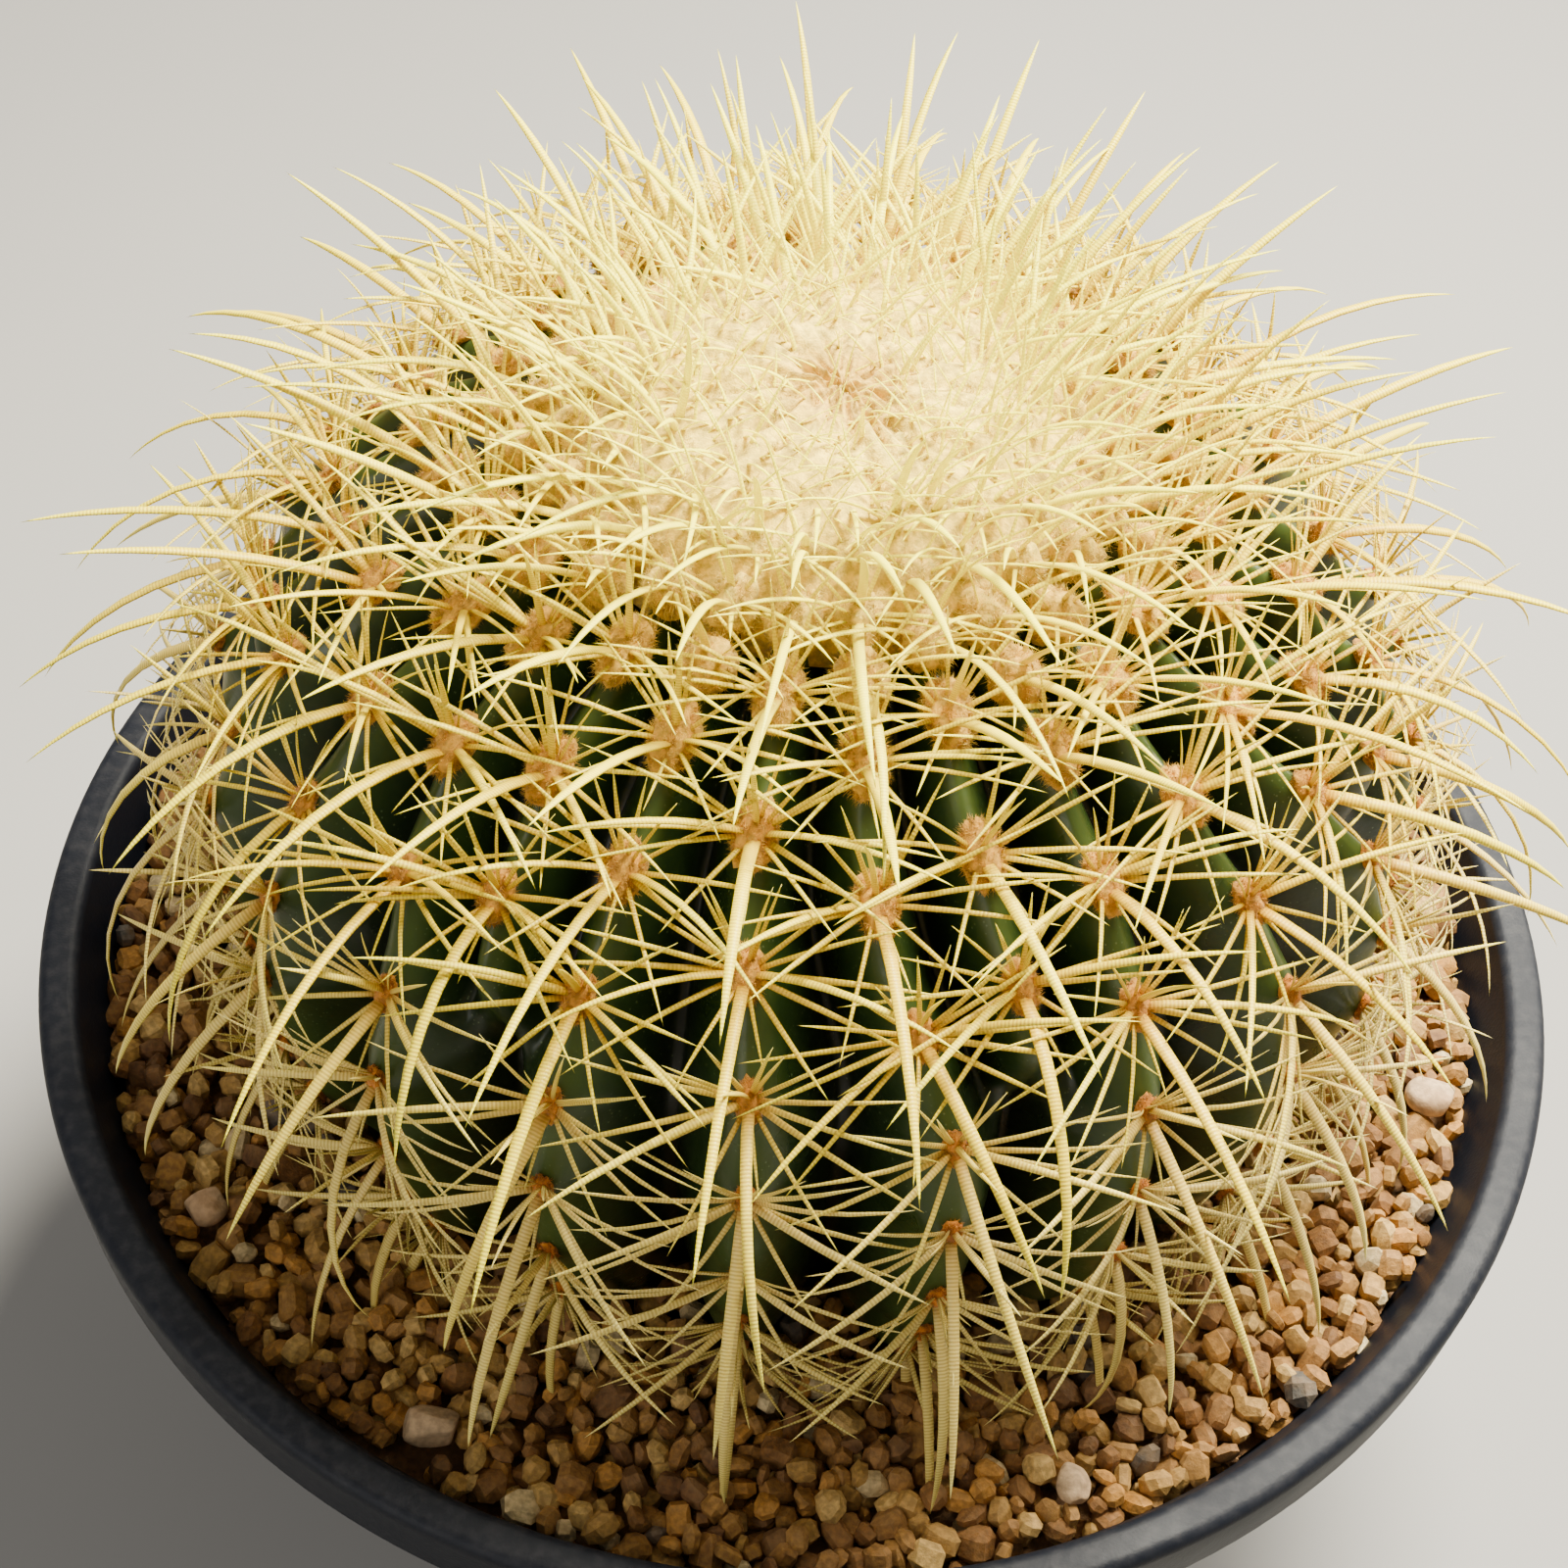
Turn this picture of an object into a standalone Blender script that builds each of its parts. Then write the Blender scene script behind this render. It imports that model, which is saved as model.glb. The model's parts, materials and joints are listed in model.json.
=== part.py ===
"""A golden barrel cactus in a wide round plastic pot, filled with mineral grit.

Metres, +Z up. The origin is the middle of the pot's flat base, and the front is at -Y.
"""

import math
import random

import bmesh
import bpy
from mathutils import Vector

# ---- Fits -------------------------------------------------------------------------------------
GAP = 0.0003                # clearance between pieces that touch
AXIS_RADIUS = 0.0005        # a point nearer the axis than this lies on it
SHARP_ANGLE = 35.0          # edges turning more than this stay sharp, degrees

# ---- Pot --------------------------------------------------------------------------------------
POT_HEIGHT = 0.140
POT_LIP_RADIUS = 0.150      # outside of the lip
POT_LIP_WIDTH = 0.0080      # across the lip's flat top
POT_LIP_HEIGHT = 0.016
POT_LIP_EDGE = 0.0022       # rounding of the lip's edges
POT_BASE_RADIUS = 0.104
POT_BASE_EDGE = 0.006       # rounding where the wall meets the base
POT_WALL = 0.0035
POT_FLOOR = 0.0045
ROUND_STEPS = 64            # sides of the turned pieces
EDGE_STEPS = 3              # chords in a rounded edge

DRAIN_HOLES = 6
DRAIN_RADIUS = 0.0065
DRAIN_CIRCLE = 0.066
DRAIN_SIDES = 16
DRAIN_CUT = 0.0135          # height of the cutter, which passes the floor on both sides

# ---- Grit -------------------------------------------------------------------------------------
HEADSPACE = 0.010           # from the lip's top down to the grit
STONES = 8
STONE_LENGTH = (0.0080, 0.0108)
STONE_WIDTH = (0.70, 0.85)      # of its length
STONE_HEIGHT = (0.55, 0.70)     # of its length
STONE_CHIP = 0.10           # how far a stone's corners are worn in, as a share of its radius
STONE_SPREAD = (0.2, 0.8)       # where a stone lies in its share of the ring
STONE_WALL_SPACE = 0.0035   # from the largest stone to the pot's wall

# ---- Stem -------------------------------------------------------------------------------------
WAIST_RADIUS = 0.110        # across the rib crests, at the widest
WAIST_HEIGHT = 0.048        # above the lip's top
DOME_HEIGHT = 0.087         # waist to crown
FOOT_DEPTH = 0.137          # waist to the underside, in the grit
DRAW_IN_POWER = 1.46        # how fast the outline draws in: 1 is an ellipse
RISE_POWER = 0.87           # how flat the crown is: 1 is an ellipse
DIMPLE_DEPTH = 0.005
DIMPLE_RADIUS = 0.020
RING_STEP = 9.0             # degrees of the outline's parameter between rings
LEAST_STEP = 1.0            # the grit's hollow keeps no ring nearer to the surface, degrees
LEVEL_STEP = 0.5            # half of the step over which the outline's direction is measured, degrees

PRIMARY_RIBS = 21           # these run from the grit to the crown
INSERT_EVERY = 3            # one shorter rib starts in every third valley
RIB_DEPTH = 0.017           # crest to valley floor, at the waist
CREST_WIDTH = 0.0070
FIRST_RIB = -3.2            # azimuth of the rib nearest the front, degrees
CROWN_TWIST = -3.4          # how far the ribs lean round on their way up, degrees
SPREAD_RANGE = (10.0, 42.0)     # where the spacing goes from the lower to the upper one, degrees
INSERT_RANGE = (6.0, 22.0)      # where an inserted rib rises from its valley, degrees

# ---- Areoles and spines -----------------------------------------------------------------------
AREOLE_TOP = 51.0           # outline parameter of the highest pad outside the wool, degrees
AREOLE_STAGGER = 8.0        # the most that a rib's pads are moved down, degrees
STAGGER_TURN = 0.618        # share of the stagger by which one rib differs from the next
AREOLE_PITCH = (11.2, 6.8)      # between pads, above the waist and at the grit, degrees
PITCH_RANGE = (-20.0, 25.0)     # where the pitch goes from the lower to the upper one, degrees
AREOLE_CLEAR = 0.008        # from the grit up to the lowest pad
PAD_LENGTH = 0.0070
PAD_WIDTH = 0.0042
FELT_HEIGHT = 0.0014
FELT_LIFT = 0.0005          # lets the felt's straight runs pass over the curved crest
SPINE_LENGTH = 0.047        # the long lower spine of a pad at the shoulder
SPINE_WIDTH = 0.0026
SPINE_THICKNESS = 0.0012
SPINE_TAPER = 0.55          # share of its width lost before the tip
SPINE_BEND = (28.0, 74.0)       # from the surface's normal, at the root and at the tip, degrees
SPINE_VARIATION = 0.10      # the most that one falls short of its length, as a share
SHORT_SPINE = 0.018         # spines near the grit
SHORT_BEND = (-30.0, -8.0)      # these leave level and stay clear of the grit, degrees
SHORT_RANGE = (-22.0, 6.0)      # where spines grow from short to long, degrees
CROWN_SPINE = 0.90          # length of the spines beside the wool, as a share of the longest
CROWN_RANGE = (30.0, 51.0)      # where they shorten, degrees
SPINE_LEAN = 5.0            # sideways, degrees

# ---- Crown wool -------------------------------------------------------------------------------
WOOL_EDGE = 54.0            # outline parameter where the wool ends, degrees
WOOL_SHOULDER = 66.0        # where it is thickest, degrees
WOOL_THICKNESS = 0.009
WOOL_CENTRE = 0.45          # thickness over the dimple, as a share of the fullest

GRIT_TOP = POT_HEIGHT - HEADSPACE
WAIST_Z = POT_HEIGHT + WAIST_HEIGHT
RIBS = PRIMARY_RIBS + PRIMARY_RIBS // INSERT_EVERY
RINGS = round(180.0 / RING_STEP)


def clear_scene():
    for item in list(bpy.data.objects):
        bpy.data.objects.remove(item, do_unlink=True)


def new_collection(name, hidden=False):
    collection = bpy.data.collections.new(name)
    collection.hide_render = hidden
    bpy.context.scene.collection.children.link(collection)
    return collection


def new_material(name, color, roughness, metallic=0.0):
    material = bpy.data.materials.new(name)
    material.use_nodes = True
    shader = material.node_tree.nodes["Principled BSDF"]
    shader.inputs["Base Color"].default_value = (*color, 1.0)
    shader.inputs["Roughness"].default_value = roughness
    shader.inputs["Metallic"].default_value = metallic
    return material


def add_mesh(name, bm, collection, material=None):
    mesh = bpy.data.meshes.new(name)
    bm.to_mesh(mesh)
    bm.free()
    item = bpy.data.objects.new(name, mesh)
    collection.objects.link(item)
    if material:
        mesh.materials.append(material)
    mesh.shade_smooth()
    mesh.set_sharp_from_angle(angle=math.radians(SHARP_ANGLE))
    return item


def turned(name, profile, steps, collection, material, start=0.0):
    """Turns a profile of (radius, height) points about +Z; its outer side runs from top to bottom."""
    bm = bmesh.new()
    verts = [bm.verts.new(polar(radius, start, height)) for radius, height in profile]
    for upper, lower in zip(verts, verts[1:]):
        bm.edges.new((upper, lower))
    item = add_mesh(name, bm, collection, material)
    screw = item.modifiers.new("turn", "SCREW")
    screw.axis = "Z"
    screw.angle = math.tau
    screw.steps = steps
    screw.render_steps = steps
    screw.use_merge_vertices = True
    screw.merge_threshold = 0.00001
    screw.use_smooth_shade = True
    return item


def polar(radius, azimuth, height):
    """A point at an azimuth in degrees, counted from the front (-Y) towards +X."""
    turn = math.radians(azimuth)
    return Vector((radius * math.sin(turn), -radius * math.cos(turn), height))


def ramp(value, low, high):
    """0 below low, 1 above high, and a smooth rise between."""
    share = min(max((value - low) / (high - low), 0.0), 1.0)
    return share * share * (3.0 - 2.0 * share)


def mix(first, second, share):
    return first + (second - first) * share


def arc(centre, radius, start, end):
    """Points of a rounded edge in the (radius, height) plane, angles in degrees."""
    points = []
    for step in range(EDGE_STEPS + 1):
        angle = math.radians(mix(start, end, step / EDGE_STEPS))
        points.append((centre[0] + radius * math.cos(angle), centre[1] + radius * math.sin(angle)))
    return points


# ---- Outline of the stem ----------------------------------------------------------------------


def crest_radius(level):
    """Radius across the crests; level is the outline's parameter, -90 at the underside, 90 on top."""
    return WAIST_RADIUS * max(math.cos(math.radians(level)), 0.0) ** DRAW_IN_POWER


def crest_height(level):
    rise = math.sin(math.radians(level))
    if level <= 0:
        return WAIST_Z + FOOT_DEPTH * rise
    dimple = DIMPLE_DEPTH * math.exp(-((crest_radius(level) / DIMPLE_RADIUS) ** 2))
    return WAIST_Z + DOME_HEIGHT * rise**RISE_POWER - dimple


def level_at_height(height):
    """The outline's parameter below the waist at a height."""
    return math.degrees(math.asin((height - WAIST_Z) / FOOT_DEPTH))


def rib_list():
    """Each rib round the stem as (azimuth low down, is it inserted)."""
    step = 360.0 / PRIMARY_RIBS
    ribs = []
    for number in range(PRIMARY_RIBS):
        ribs.append((number * step, False))
        if number % INSERT_EVERY == 1:
            ribs.append(((number + 0.5) * step, True))
    return ribs


def rib_azimuth(index, level):
    """The lower spacing is set by the primary ribs; above, all ribs share the crown evenly."""
    low = rib_list()[index % RIBS][0] + 360.0 * (index // RIBS)
    high = index * 360.0 / RIBS + CROWN_TWIST
    return FIRST_RIB + mix(low, high, ramp(level, *SPREAD_RANGE))


def crest_share(index, level):
    """How far a rib stands out of its valley: 1 is full height."""
    inserted = rib_list()[index % RIBS][1]
    return ramp(level, *INSERT_RANGE) if inserted else 1.0


def crest_point(index, level):
    return polar(crest_radius(level), rib_azimuth(index, level), crest_height(level))


def crest_frame(index, level):
    """The crest's point, outward normal, downward direction and sideways direction."""
    point = crest_point(index, level)
    down = (crest_point(index, level - LEVEL_STEP) - crest_point(index, level + LEVEL_STEP)).normalized()
    side = polar(1.0, rib_azimuth(index, level) + 90.0, 0.0)
    side = (side - down * side.dot(down)).normalized()
    normal = side.cross(down).normalized()
    if normal.dot(point - Vector((0, 0, WAIST_Z))) < 0:
        normal.negate()
    return point, normal, down, side


def build_stem(collection, material):
    """A sphere with three columns to a rib (both sides of its crest, and the valley), drawn to shape."""
    bm = bmesh.new()
    columns = RIBS * 3
    bmesh.ops.create_uvsphere(bm, u_segments=columns, v_segments=RINGS, radius=1.0)
    for vert in bm.verts:
        level = math.degrees(math.asin(min(max(vert.co.z, -1.0), 1.0)))
        radius = crest_radius(level)
        if radius < AXIS_RADIUS:
            vert.co = Vector((0, 0, crest_height(level)))
            continue
        column = round(math.atan2(vert.co.x, -vert.co.y) / math.tau * columns) % columns
        rib, place = divmod(column, 3)
        depth = RIB_DEPTH * radius / WAIST_RADIUS
        half_crest = math.degrees(math.asin(0.5 * CREST_WIDTH / WAIST_RADIUS))
        here = rib_azimuth(rib, level)
        after = rib_azimuth(rib + 1, level)
        if place == 2:
            azimuth = 0.5 * (here + after)
            radius -= depth
        else:
            azimuth = here + (half_crest if place else -half_crest)
            radius -= depth * (1.0 - crest_share(rib, level))
        vert.co = polar(radius, azimuth, crest_height(level))
    bmesh.ops.recalc_face_normals(bm, faces=bm.faces)
    return add_mesh("cactus_body", bm, collection, material)


def ring_levels(low, high):
    """The stem's ring levels between two limits, so that what fits it bends where it bends."""
    levels = [-90.0 + RING_STEP * ring for ring in range(RINGS + 1)]
    return [level for level in levels if low <= level <= high]


# ---- Pot and grit -----------------------------------------------------------------------------


def pot_inner_radius(height):
    floor_radius = POT_BASE_RADIUS - POT_WALL
    top_radius = POT_LIP_RADIUS - POT_LIP_WIDTH
    return mix(floor_radius, top_radius, (height - POT_FLOOR) / (POT_HEIGHT - POT_FLOOR))


def build_pot(collection, cutters, material):
    lip_bottom = POT_HEIGHT - POT_LIP_HEIGHT
    edge = POT_LIP_EDGE
    top_inner = pot_inner_radius(POT_HEIGHT)
    profile = [(0.0, POT_FLOOR), (pot_inner_radius(POT_FLOOR), POT_FLOOR)]
    profile.append((pot_inner_radius(GRIT_TOP), GRIT_TOP))
    profile += arc((top_inner + edge, POT_HEIGHT - edge), edge, 180, 90)
    profile += arc((POT_LIP_RADIUS - edge, POT_HEIGHT - edge), edge, 90, 0)
    profile += arc((POT_LIP_RADIUS - edge, lip_bottom + edge), edge, 0, -90)
    profile.append((pot_inner_radius(lip_bottom) + POT_WALL, lip_bottom))
    profile += arc((POT_BASE_RADIUS - POT_BASE_EDGE, POT_BASE_EDGE), POT_BASE_EDGE, 0, -90)
    profile.append((0.0, 0.0))
    pot = turned("pot", profile, ROUND_STEPS, collection, material)
    for hole in range(DRAIN_HOLES):
        bm = bmesh.new()
        bmesh.ops.create_cone(
            bm, cap_ends=True, segments=DRAIN_SIDES, radius1=DRAIN_RADIUS, radius2=DRAIN_RADIUS,
            depth=DRAIN_CUT,
        )
        cutter = add_mesh(f"drain_cutter_{hole + 1}", bm, cutters)
        cutter.location = polar(DRAIN_CIRCLE, (hole + 0.5) * 360.0 / DRAIN_HOLES, POT_FLOOR / 2)
        cutter.display_type = "WIRE"
        cutter.hide_render = True
        cut = pot.modifiers.new(f"drain_{hole + 1}", "BOOLEAN")
        cut.operation = "DIFFERENCE"
        cut.object = cutter
    return pot


def build_grit(collection, material):
    """Fills the pot up to the headspace, with a hollow in which the stem's foot sits."""
    surface = level_at_height(GRIT_TOP)
    levels = ring_levels(-90, surface - LEAST_STEP) + [surface]
    profile = []
    for level in levels:
        radius = crest_radius(level)
        profile.append((radius + GAP if radius > AXIS_RADIUS else 0.0, crest_height(level) - GAP))
    profile[-1] = (profile[-1][0], GRIT_TOP)
    profile.append((pot_inner_radius(GRIT_TOP) - GAP, GRIT_TOP))
    profile.append((pot_inner_radius(POT_FLOOR + GAP) - GAP, POT_FLOOR + GAP))
    profile.append((0.0, POT_FLOOR + GAP))
    return turned("grit_bed", profile, ROUND_STEPS, collection, material)


def build_stones(collection, material):
    """The few stones larger than the rest, lying on the grit between the stem and the wall."""
    dice = random.Random(7)
    largest = STONE_LENGTH[1]
    ring = pot_inner_radius(GRIT_TOP) - STONE_WALL_SPACE - largest / 2
    for number in range(STONES):
        bm = bmesh.new()
        bmesh.ops.create_icosphere(bm, subdivisions=2, radius=0.5)
        length = dice.uniform(*STONE_LENGTH)
        size = Vector((1, dice.uniform(*STONE_WIDTH), dice.uniform(*STONE_HEIGHT))) * length
        for vert in bm.verts:
            chipped = vert.co * dice.uniform(1 - STONE_CHIP, 1)
            vert.co = Vector((chipped.x * size.x, chipped.y * size.y, chipped.z * size.z))
        lowest = min(vert.co.z for vert in bm.verts)
        azimuth = (number + dice.uniform(*STONE_SPREAD)) * 360.0 / STONES
        place = polar(ring, azimuth, GRIT_TOP + GAP - lowest)
        stone = add_mesh(f"surface_stone_{number + 1:02d}", bm, collection, material)
        stone.location = place
        stone.rotation_euler = (0, 0, dice.uniform(0, math.pi))


# ---- Wool -------------------------------------------------------------------------------------


def wool_height(level):
    """Thickness of the wool: thin at its edge, fullest on the shoulder, less over the dimple."""
    inside = math.sin(math.pi / 2 * ramp(level, WOOL_EDGE - 1, WOOL_SHOULDER))
    centre = mix(1.0, WOOL_CENTRE, ramp(level, WOOL_SHOULDER, 90))
    return WOOL_THICKNESS * inside * centre


def build_wool(collection, material):
    levels = ring_levels(WOOL_EDGE, 90)
    profile = []
    for level in reversed(levels):
        radius = crest_radius(level)
        height = crest_height(level) + GAP + wool_height(level)
        profile.append((radius if radius > AXIS_RADIUS else 0.0, height))
    for level in levels[1:]:
        radius = crest_radius(level)
        profile.append((radius if radius > AXIS_RADIUS else 0.0, crest_height(level) + GAP))
    start = rib_azimuth(0, 90.0)
    return turned("crown_wool", profile, RIBS, collection, material, start)


# ---- Felt and spines --------------------------------------------------------------------------


def pad_levels(index):
    """The outline parameters of a rib's pads, from the wool down."""
    inserted = rib_list()[index % RIBS][1]
    lowest = INSERT_RANGE[1] if inserted else level_at_height(GRIT_TOP + AREOLE_CLEAR)
    level = AREOLE_TOP - AREOLE_STAGGER * (index * STAGGER_TURN % 1.0)
    levels = []
    while level > lowest:
        levels.append(level)
        level -= mix(AREOLE_PITCH[1], AREOLE_PITCH[0], ramp(level, *PITCH_RANGE))
    return levels


def level_step(level, length):
    """How much the outline's parameter changes over a length along the crest."""
    upper = Vector((crest_radius(level + LEVEL_STEP), crest_height(level + LEVEL_STEP)))
    lower = Vector((crest_radius(level - LEVEL_STEP), crest_height(level - LEVEL_STEP)))
    return length / (upper - lower).length * 2 * LEVEL_STEP


def extrude_to(bm, face, corners):
    """Extrudes a four-sided face and moves it to the corners, which keep the face's order."""
    before = [loop.vert.co.copy() for loop in face.loops]
    made = bmesh.ops.extrude_discrete_faces(bm, faces=[face])["faces"][0]
    places = {}
    for vert in made.verts:
        nearest = min(range(4), key=lambda corner: (vert.co - before[corner]).length)
        places[vert] = corners[nearest]
    for vert, place in places.items():
        vert.co = place
    return made, [loop.vert for loop in made.loops]


def felt_section(index, level):
    """Corners of the felt's section on the crest: two below, then two above."""
    point, normal, down, side = crest_frame(index, level)
    low = point + normal * (GAP + FELT_LIFT)
    high = low + normal * FELT_HEIGHT
    half = side * PAD_WIDTH / 2
    return [low - half, low + half, high + half, high - half]


def build_felt(bm, index):
    """The felt as one strip down the crest, which joins a rib's pads; gives each pad's top face."""
    stations = []
    for level in pad_levels(index):
        half = level_step(level, PAD_LENGTH / 2)
        stations.append(level + half)
        stations.append(level - half)
    face = bm.faces.new([bm.verts.new(corner) for corner in felt_section(index, stations[0])])
    previous = list(face.verts)
    pads = []
    for number, level in enumerate(stations[1:]):
        section = felt_section(index, level)
        corners = dict(zip(previous, section))
        face, moved = extrude_to(bm, face, [corners[loop.vert] for loop in face.loops])
        current = [min(moved, key=lambda vert: (vert.co - corner).length) for corner in section]
        if number % 2 == 0:
            tops = set(previous[2:] + current[2:])
            pads.append(next(side for side in bm.faces if set(side.verts) == tops))
        previous = current
    return pads


def spine_points(index, level, length, lean):
    """The spine's middle line, leaving the pad near its normal and curving downwards."""
    point, normal, down, side = crest_frame(index, level)
    steps = 3 if length > 1.5 * SHORT_SPINE else 2
    place = point + normal * (GAP + FELT_LIFT + FELT_HEIGHT)
    points = []
    grown = ramp(level, *SHORT_RANGE)
    for step in range(steps):
        share = (step + 0.5) / steps
        bend = math.radians(mix(mix(*SHORT_BEND, share), mix(*SPINE_BEND, share), grown))
        tilt = math.radians(lean)
        aim = (normal * math.cos(bend) + down * math.sin(bend)) * math.cos(tilt) + side * math.sin(tilt)
        place = place + aim * length / steps
        points.append((place.copy(), aim, side))
    return points


def grow_spine(bm, pad, points):
    """Insets a pad's top to the spine's root, draws it out along the line and closes it to a tip."""
    centre = pad.calc_center_median()
    along = points[0][2]
    across = pad.normal.cross(along).normalized()
    bmesh.ops.inset_individual(bm, faces=[pad], thickness=SPINE_THICKNESS / 2)
    signs = []
    for loop in pad.loops:
        offset = loop.vert.co - centre
        signs.append((math.copysign(1, offset.dot(along)), math.copysign(1, offset.dot(across))))
    for loop, (right, front) in zip(list(pad.loops), signs):
        loop.vert.co = centre + along * right * SPINE_WIDTH / 2 + across * front * SPINE_THICKNESS / 2
    face = pad
    for step, (place, aim, side) in enumerate(points[:-1]):
        share = 1.0 - SPINE_TAPER * (step + 1) / len(points)
        across = aim.cross(side).normalized()
        corners = []
        for right, front in signs:
            offset = side * right * SPINE_WIDTH / 2 + across * front * SPINE_THICKNESS / 2
            corners.append(place + offset * share)
        face, _ = extrude_to(bm, face, corners)
    face, tip = extrude_to(bm, face, [loop.vert.co.copy() for loop in face.loops])
    bmesh.ops.pointmerge(bm, verts=tip, merge_co=points[-1][0])


def build_spine_row(index, collection, material):
    dice = random.Random(100 + index)
    bm = bmesh.new()
    pads = build_felt(bm, index)
    bmesh.ops.holes_fill(bm, edges=[edge for edge in bm.edges if edge.is_boundary], sides=4)
    bmesh.ops.recalc_face_normals(bm, faces=bm.faces)
    for pad, level in zip(pads, pad_levels(index)):
        length = mix(SHORT_SPINE, SPINE_LENGTH, ramp(level, *SHORT_RANGE))
        length *= mix(1.0, CROWN_SPINE, ramp(level, *CROWN_RANGE)) * dice.uniform(1 - SPINE_VARIATION, 1)
        lean = dice.uniform(-SPINE_LEAN, SPINE_LEAN)
        grow_spine(bm, pad, spine_points(index, level, length, lean))
    bmesh.ops.recalc_face_normals(bm, faces=bm.faces)
    return add_mesh(f"spine_row_{index + 1:02d}", bm, collection, material)


def main():
    clear_scene()
    parts = new_collection("potted_barrel_cactus")
    cutters = new_collection("cutters", hidden=True)
    plastic = new_material("pot_plastic", (0.030, 0.033, 0.045), 0.55)
    grit = new_material("grit", (0.36, 0.21, 0.10), 0.95)
    stone = new_material("pale_stone", (0.55, 0.42, 0.28), 0.90)
    skin = new_material("stem_skin", (0.030, 0.075, 0.022), 0.35)
    wool = new_material("wool", (0.80, 0.62, 0.36), 1.0)
    spine = new_material("spines", (0.82, 0.70, 0.30), 0.45)
    build_pot(parts, cutters, plastic)
    build_grit(parts, grit)
    build_stones(parts, stone)
    build_stem(parts, skin)
    build_wool(parts, wool)
    for index in range(RIBS):
        build_spine_row(index, parts, spine)


main()
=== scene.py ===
# %% [markdown]
# # A golden barrel cactus in its pot
# The plant is a ribbed ball of green flesh. Pads of felt, called areoles, sit in rows on the ribs, and
# each pad grows a star of spines. The crown is covered by the hair of the youngest pads.
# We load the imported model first. It fixes every size and place, and all the pieces below are built
# round it, in metres, with the pot standing on the floor at height 0.

# %% The frame
import json
import math
import random

import bpy
import numpy as np
from mathutils import Matrix, Vector, noise

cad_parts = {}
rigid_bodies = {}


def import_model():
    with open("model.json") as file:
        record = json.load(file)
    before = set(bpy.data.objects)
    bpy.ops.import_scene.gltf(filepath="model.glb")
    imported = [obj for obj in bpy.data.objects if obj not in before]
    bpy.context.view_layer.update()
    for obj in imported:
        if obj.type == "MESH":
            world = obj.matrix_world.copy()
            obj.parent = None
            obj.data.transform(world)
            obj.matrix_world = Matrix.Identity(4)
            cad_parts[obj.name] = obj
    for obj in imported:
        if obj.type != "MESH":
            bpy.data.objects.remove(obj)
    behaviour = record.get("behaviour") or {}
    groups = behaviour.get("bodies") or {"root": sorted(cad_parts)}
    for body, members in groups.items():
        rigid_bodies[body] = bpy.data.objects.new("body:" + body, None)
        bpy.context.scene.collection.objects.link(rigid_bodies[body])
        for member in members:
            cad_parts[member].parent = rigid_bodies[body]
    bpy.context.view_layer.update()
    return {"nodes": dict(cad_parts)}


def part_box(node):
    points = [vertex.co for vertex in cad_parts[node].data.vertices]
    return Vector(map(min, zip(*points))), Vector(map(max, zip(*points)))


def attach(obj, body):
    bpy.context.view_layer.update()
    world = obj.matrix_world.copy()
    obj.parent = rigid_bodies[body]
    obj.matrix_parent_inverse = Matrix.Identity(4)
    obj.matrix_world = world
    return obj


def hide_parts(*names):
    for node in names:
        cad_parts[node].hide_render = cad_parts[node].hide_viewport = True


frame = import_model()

pot_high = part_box("pot")[1]
grit_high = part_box("grit_bed")[1]
stem_low, stem_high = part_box("cactus_body")
wool_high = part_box("crown_wool")[1]

# %% [markdown]
# ## Camera, floor and light
# The camera looks down at the plant at about 48 degrees and is turned a little about its own axis. It
# could be aimed by hand with three angles. Here the directions to its right, up and back are worked out
# instead, because they are the columns of its matrix and leave no doubt about the order of the turns.

# %% Camera
LENS = 58.5                     # millimetres
SENSOR_WIDTH = 36.0             # millimetres
CAMERA_RISE = math.radians(48.3)
CAMERA_ROLL = math.radians(4.12)
CAMERA_DISTANCE = 0.5361
AIM = (-0.032, 0.212)           # the point looked at, in lip radii from the pot's middle
lip_radius = pot_high.x
aim = Vector((AIM[0] * lip_radius, AIM[1] * lip_radius, pot_high.z))

camera_data = bpy.data.cameras.new("camera")
camera_data.lens = LENS
camera_data.sensor_width = SENSOR_WIDTH
camera_data.clip_start = 0.01
camera = bpy.data.objects.new("camera", camera_data)
bpy.context.scene.collection.objects.link(camera)
back = Vector((0, -math.cos(CAMERA_RISE), math.sin(CAMERA_RISE)))
level_right = Vector((1, 0, 0))
level_up = back.cross(level_right)
right = level_right * math.cos(CAMERA_ROLL) + level_up * math.sin(CAMERA_ROLL)
up = back.cross(right)
camera.matrix_world = Matrix.Translation(aim + back * CAMERA_DISTANCE) @ Matrix(
    (right, up, back)).transposed().to_4x4()
bpy.context.scene.camera = camera
print("the camera stands", round(CAMERA_DISTANCE, 3), "m away")

# %% [markdown]
# An operator acts on all that is selected, and loading the imported model leaves its nodes selected. So
# each piece starts with a cleared selection. Points are read and written as one table, which is much
# faster than one by one. A finished piece is settled: it gets its material and its body, and the
# imported nodes that it stands for are hidden.


# %% Helpers for modelling
def clear_selection():
    """Back to object mode with nothing selected, so that an operator acts only on what comes next."""
    if bpy.context.object and bpy.context.object.mode != "OBJECT":
        bpy.ops.object.mode_set(mode="OBJECT")
    bpy.ops.object.select_all(action="DESELECT")


def select_only(piece):
    clear_selection()
    piece.select_set(True)
    bpy.context.view_layer.objects.active = piece


def edit_mode(select="EDGE"):
    bpy.ops.object.mode_set(mode="EDIT")
    bpy.ops.mesh.select_mode(type=select)


def object_mode():
    bpy.ops.object.mode_set(mode="OBJECT")


def points_of(piece):
    points = np.empty(len(piece.data.vertices) * 3)
    piece.data.vertices.foreach_get("co", points)
    return points.reshape(-1, 3)


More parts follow.
